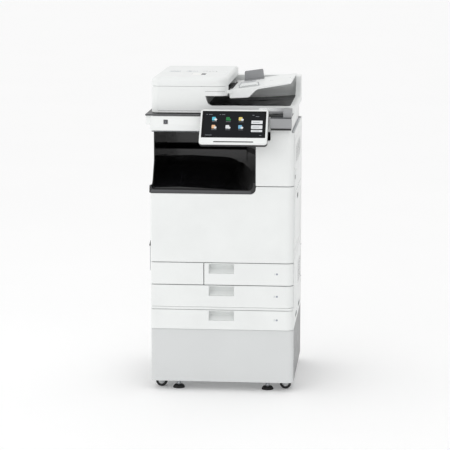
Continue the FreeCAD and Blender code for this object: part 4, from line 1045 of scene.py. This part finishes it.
def panel_pieces():
    """Control panel: dark rear shell, lit screen, light slot, base trim and knuckle cap."""
    panel.prism("panel_shell", rounded(-81.2, 183.7, -0.6, 161.4, 13), "y", 7.5, 18.6, "black_grained", 2.4)
    panel.bezel("panel_lip", rounded(-76.4, 178.9, 4, 157, 9), rounded(-74.6, 176.8, 26.5, 154.5, 3), "y",
                -0.25, 0.3, "white_cover", 0.2)
    panel.prism("screen_border", rounded(-73, 175, 28.2, 152.8, 2), "y", 0.42, 0.6, "screen_glass", 0)
    panel.prism("screen_back", rounded(-64, 167, 34, 147, 1), "y", 0.34, 0.5, SCREEN["back"], 0)
    looks = (("cyan", "green", "yellow"), ("orange", "white", "blue"))
    for row, z in enumerate((116.5, 79.0)):
        for column, x in enumerate((-25.5, 28.7, 78.0)):
            look = looks[row][column]
            icon = [patch(rounded(x - 9, x + 5, z - 8, z + 8, 2.5), look),
                    patch(circle(x + 5, z - 4, 5.2, 20), "white" if column != 1 else look, 0.14, 0.25),
                    patch(rounded(x - 9, x + 10, z - 14.6, z - 12.8, 0.8), "dim")]
            panel.joined("icon_%d_%d" % (row + 1, column + 1), icon)
    keys = []
    for z0, z1 in ((93.5, 109), (70.5, 87.5), (56, 65.5)):
        middle = (z0 + z1) / 2
        keys.append(patch(rounded(118.7, 162, z0, z1, 2), "white"))
        keys.append(patch(rounded(124, 150, middle - 1, middle + 1, 0.6), "dim", 0.14, 0.25))
    panel.joined("screen_keys", keys)
    places = ((-58, 6, 135), (-48, 14, 135), (-6, 5, 135), (3, 12, 135), (121, 8, 133), (134, 14, 127),
              (-58, 26, 39), (152, 8, 39))
    marks = [patch(rounded(x, x + wide, z, z + 2.2, 0.8), "dim") for x, wide, z in places]
    panel.joined("screen_marks", marks)
    groove = rounded(-24.2, 130.2, 6.6, 11.4, 2.3)
    slot = [prism("slot", groove, "y", -0.35, 0.3, "black_plastic", 0, PANEL),
            bezel("slot_rim", rounded(-26.4, 132.4, 4.6, 13.4, 4), groove, "y", -0.35, 0.3, "white_rough",
                  0.1, PANEL)]
    panel.joined("light_slot", slot)
    feet = [prism("foot", circle(x, z, 5, 24), "y", 18.4, 20.2, "black_rubber", 0.5, PANEL)
            for x in (-62, 160) for z in (20, 140)]
    panel.joined("panel_feet", feet)
    ribs = [([(x, 40), (x + 3, 40), (x + 3, 110), (x, 110)], "y", 18.4, 19.4) for x in range(-50, 140, 14)]
    panel.prisms("panel_rear_vents", ribs, "black_grained", 0.3)
    end = span("panel_base")[1][0]
    unit.prism("base_cap", [(-331, 1097.5), (-304.4, 1097.5), (-304.4, 1130.8), (-331, 1130.8)], "x",
               end - 0.4, end + 0.3, "grey_plastic", 0.2)
    unit.prisms("base_dark_seam", [block(191.5, 271.5, -345.8, -304, 1098.2, 1099.6)], "seam_shadow", 0)
    unit.prisms("base_shadow_gap", [block(192, 271, -340, -304, 1050.6, 1056.8)], "black_grained", 0.6)
    panel.ring("knuckle_washer", "x", -294, 1120, 6.4, 11.3, 239.1, 239.8, "steel")


def patch(line, look, start=0.20, end=0.3):
    """Lit patch on the screen."""
    return prism("patch", line, "y", start, end, SCREEN[look], 0, PANEL)


def feeder_pieces():
    """Document feeder: pad, cover's marks, feed works, tray and guides, exit tray's ribs, caps and seams."""
    low = span("feeder_base")[0][2]
    feeder.prism("platen_pad", rounded(-262, 244, -185, 165, 6), "z", low - 3.2, low + 0.2, "paper", 1.0)
    feeder.bezel("pad_frame", rounded(-276, 276, -254, 254, 10), rounded(-266, 248, -189, 169, 7), "z",
                 low - 1.4, low + 0.2, "light_grey_plastic", 0.5)
    lid_pieces()
    works = [lathe("roller", "y", x, z, [(7, -150), (9, -149), (9, 149), (7, 150)], "black_rubber", 28)
             for x, z in ((-130, low + 62), (-190, low + 70))]
    works.append(prisms("deck", [block(-270, -84, -230, 205, low + 30.5, low + 44)], "black_grained", 1.0))
    works += [lathe("wheel", "y", x, low + 74, [(12, 160), (12, 172), (9, 173)], "light_grey_plastic", 28)
              for x in (-110, -150, -230)]
    feeder.joined("feed_works", works)
    feeder.prisms("mouth_brushes", [block(-8, -4, y, y + 22, low + 79.2, low + 82) for y in (-140, 60, 108)],
                  "black_rubber", 0.3)
    seams = [block(-70, 8, -262.1, -261.9, low + 83.5, low + 84.3),
             block(-255, 250, -262.12, -261.9, low + 7.0, low + 7.8)]
    feeder.prisms("base_seams", seams, "seam_shadow", 0)
    tray_pieces()
    fold = [(-60, low + 17.2), (60, low + 15.2), (250, low + 22.5), (250, low + 21), (60, low + 12),
            (-60, low + 14)]
    feeder.prisms("exit_tray_ribs", [(fold, "y", y, y + 2) for y in (-120, 70)], "black_grained", 0.5)
    cap = [(270, 1106), (296, 1106), (296, low + 18), (272, low + 18)]
    for k, x in enumerate((-190, 190)):
        hinges.prism("hinge_cap_%d" % k, cap, "x", x - 17.4, x + 17.4, "dark_grey_plastic", 2.0)
    feeder.prisms("rear_wall_seam", [block(20, 255, 282.9, 283.15, low + 60, low + 61)], "seam_shadow", 0)
    feeder.prisms("left_wall_seam", [block(-282.65, -282.4, -220, 210, low + 30, low + 31)], "seam_shadow", 0)
    mouth = [block(-78, -74, -168, 158, low + 80, low + 100),
             block(-72, 15.5, -166, 156, low + 79.05, low + 79.8)]
    feeder.prisms("mouth_dark", mouth, "black_grained", 0.2)
    tray.prism("mouth_pad", rounded(0.6, 9, -150, 128, 2), "z", -0.1, 0.3, "black_rubber", 0)


def lid_pieces():
    """Pictograms, label, marks, rear step and inner ribs of the feeder's cover."""
    top = span("feeder_cover")[1][2]
    page = [bezel("page", rounded(x - 22, x + 22, y - 15, y + 15, 2),
                  rounded(x - 20.6, x + 20.6, y - 13.6, y + 13.6, 1), "z", top - 0.05, top + 0.09,
                  "ink_grey", 0) for x, y in ((-218, 18), (-150, 27))]
    fills = [ink(-236, -200, y, y + 2.2, top) for y in (8, 14, 20, 26)]
    fills += [ink(-166, -152, 17, 37, top), ink(-147, -134, 17, 19, top), ink(-147, -134, 27, 29, top)]
    lid.joined("cover_pictograms", page + [prisms("lines", fills, "ink_grey", 0)])
    small = [ink(-106 + 13 * k, -99 + 13 * k, 16 + 8 * (k % 2), 22 + 8 * (k % 2), top) for k in range(5)]
    small += [([(x, y), (x + 7, y + 3), (x + 7, y - 3)], "z", top - 0.05, top + 0.08)
              for x, y in ((-100, 34), (-74, 38), (-58, 34))]
    lid.prisms("cover_marks", small, "ink_dark", 0)
    label = [prisms("label", [(rounded(-140, -80, -130, -70, 2), "z", top - 0.05, top + 0.10)], "paper", 0),
             prisms("dark", [(rounded(-100, -82, -128, -72, 1), "z", top, top + 0.14)], "ink_dark", 0),
             prisms("line", [block(-138, -136.6, -126, -74, top, top + 0.14)], "ink_grey", 0)]
    lid.joined("cover_label", label)
    lid.prisms("cover_edge_marks", [block(-6, -1, y, y + 4, top - 0.05, top + 0.05) for y in (-120, -60, 0)],
               "ink_grey", 0)
    lid.prisms("cover_rear_step", [block(-262, 10, 219, 221.4, top - 0.4, top)], "white_rough", 0.2)
    lid.prisms(
        "cover_inner_ribs", [block(x, x + 2, -240, 205, top - 22, top - 15.5) for x in range(-265, 5, 38)],
        "white_rough", 0.4)


def tray_pieces():
    """Recess, marks, slots and stop of the document tray, and the ribs and grips of its two guides."""
    sunk, proud = -0.05, 0.12
    floor = rounded(22, 86, -80, 111, 4)
    pit = [prism("pit", floor, "z", sunk, proud, "light_grey_plastic", 0, TRAY),
           bezel("pit_rim", rounded(20.6, 87.4, -81.4, 112.4, 5), floor, "z", sunk, 0.14, "white_rough", 0,
                 TRAY)]
    pit += [prism("line", rounded(26 + 15 * k, 27 + 15 * k, -74, 105, 0.4), "z", 0.1, 0.14, "ink_grey", 0,
                  TRAY) for k in range(4)]
    tray.joined("tray_recess", pit)
    marks = [prism("mark", [(x, y), (x + 6, y + 3), (x + 6, y - 3)], "z", sunk, proud, "ink_dark", 0, TRAY)
             for x, y in ((92, 108), (150, -2), (225, 10))]
    marks += [prism("bar", rounded(x, x + 5, y, y + 3, 0.6), "z", sunk, proud, "ink_grey", 0, TRAY)
              for x, y in ((148, -24), (158, -24), (118, -150), (128, -150))]
    tray.joined("tray_marks", marks)
    slots = [prism("slide_slot", rounded(60, 66, y0, y1, 2.5), "z", sunk, 0.15, "seam_shadow", 0, TRAY)
             for y0, y1 in ((-140, -86), (114, 122))]
    tray.joined("slide_slots", slots)
    tray.prism("tray_end_stop", rounded(238, 243, -60, 30, 2), "z", -0.1, 1.6, "white_cover", 0.5)
    ribs = [([(44, z), (108, z), (108, z + 1.5), (44, z + 1.5)], "y", 134.4, 135.1) for z in (8, 24)]
    rear_guide.prisms("rear_guide_ribs", ribs, "grey_plastic", 0.2)
    rear_guide.prism(
        "rear_guide_grip", rounded(92, 114, 134.2, 141.8, 2), "z", 38.8, 39.6, "grey_plastic", 0.3)
    grip = [(40, 2), (112, 2), (112, 11), (100, 15), (52, 15), (40, 11)]
    front_guide.prism("front_guide_grip", grip, "y", -170, -162, "white_cover", 1.8)
    front_guide.prism(
        "front_guide_line", [(46, 4), (106, 4), (106, 5), (46, 5)], "y", -170.2, -169.8, "seam_shadow", 0)


def studio():
    """Pale floor, soft lights, a white surround, and the camera a little right of and above the front."""
    bpy.ops.mesh.primitive_grid_add(x_subdivisions=24, y_subdivisions=24, size=60)
    floor = bpy.context.object
    floor.name = "studio_floor"
    n = Nodes("studio_floor")
    n.finish(n.mix(n.noise(900, 3), srgb(246, 246, 246), srgb(250, 250, 250)), 0.9, emission_strength=0.1)
    n.shader.inputs["Emission Color"].default_value = (1.0, 1.0, 1.0, 1.0)
    floor.data.materials.append(n.material)
    world = bpy.context.scene.world or bpy.data.worlds.new("surround")
    bpy.context.scene.world = world
    world.use_nodes = True
    tree = world.node_tree
    direction = tree.nodes.new("ShaderNodeTexCoord")
    parts = tree.nodes.new("ShaderNodeSeparateXYZ")
    shade = tree.nodes.new("ShaderNodeMapRange")
    shade.interpolation_type = "SMOOTHSTEP"
    for key, value in (("From Min", 0.30), ("From Max", 0.85), ("To Min", 0.97), ("To Max", 0.55)):
        shade.inputs[key].default_value = value
    tree.links.new(direction.outputs["Generated"], parts.inputs[0])
    tree.links.new(parts.outputs["X"], shade.inputs["Value"])
    tree.links.new(shade.outputs["Result"], tree.nodes["Background"].inputs["Strength"])
    tree.nodes["Background"].inputs["Color"].default_value = (1.0, 1.0, 1.0, 1.0)
    lamps = (("key", (-1.8, -4.2, 2.6), 2.4, 17), ("top", (0.2, 0.4, 4.0), 2.6, 5))
    for name, spot, size, power in lamps:
        light = bpy.data.lights.new(name, "AREA")
        light.shape = "RECTANGLE"
        light.size = size
        light.size_y = size * 0.8
        light.energy = power
        lamp = bpy.data.objects.new(name, light)
        lamp.location = spot
        lamp.rotation_euler = (Vector((0, 0, 0.7)) - lamp.location).to_track_quat("-Z", "Y").to_euler()
        bpy.context.scene.collection.objects.link(lamp)
    lens = bpy.data.cameras.new("camera")
    lens.lens = 158
    lens.sensor_width = 36
    camera = bpy.data.objects.new("camera", lens)
    azimuth, elevation, distance = math.radians(5), math.radians(9.5), 8.0
    aim = Vector((0.0, 0.0, 0.63))
    sight = Vector((math.sin(azimuth) * math.cos(elevation), -math.cos(azimuth) * math.cos(elevation),
                    math.sin(elevation)))
    camera.location = aim + sight * distance
    camera.rotation_euler = (aim - camera.location).to_track_quat("-Z", "Y").to_euler()
    bpy.context.scene.collection.objects.link(camera)
    bpy.context.scene.camera = camera
    bpy.context.scene.view_settings.view_transform = "Standard"


PANEL = tilted((0, -421, 1006.9), -41, "X")
TRAY = tilted((20.5, 0, 1192), -8, "Y")

unit = Rider("main_unit")
pedestal = Rider("pedestal")
front_door = Rider("front_door")
side_door = Rider("right_door")
bypass = Rider("bypass_tray")
carriage = Rider("scan_carriage")
button = Rider("power_button")
panel = Rider("control_panel", PANEL)
hinges = Rider("feeder_hinges")
feeder = Rider("feeder")
lid = Rider("feeder_cover")
tray = Rider("document_tray", TRAY)
front_guide = Rider("document_guide_front", TRAY)
rear_guide = Rider("document_guide_rear", TRAY)

dress_nodes()
pedestal_pieces()
cover_pieces()
drawer_pieces()
door_pieces()
engine_pieces()
bin_pieces()
scanner_pieces()
panel_pieces()
feeder_pieces()
studio()
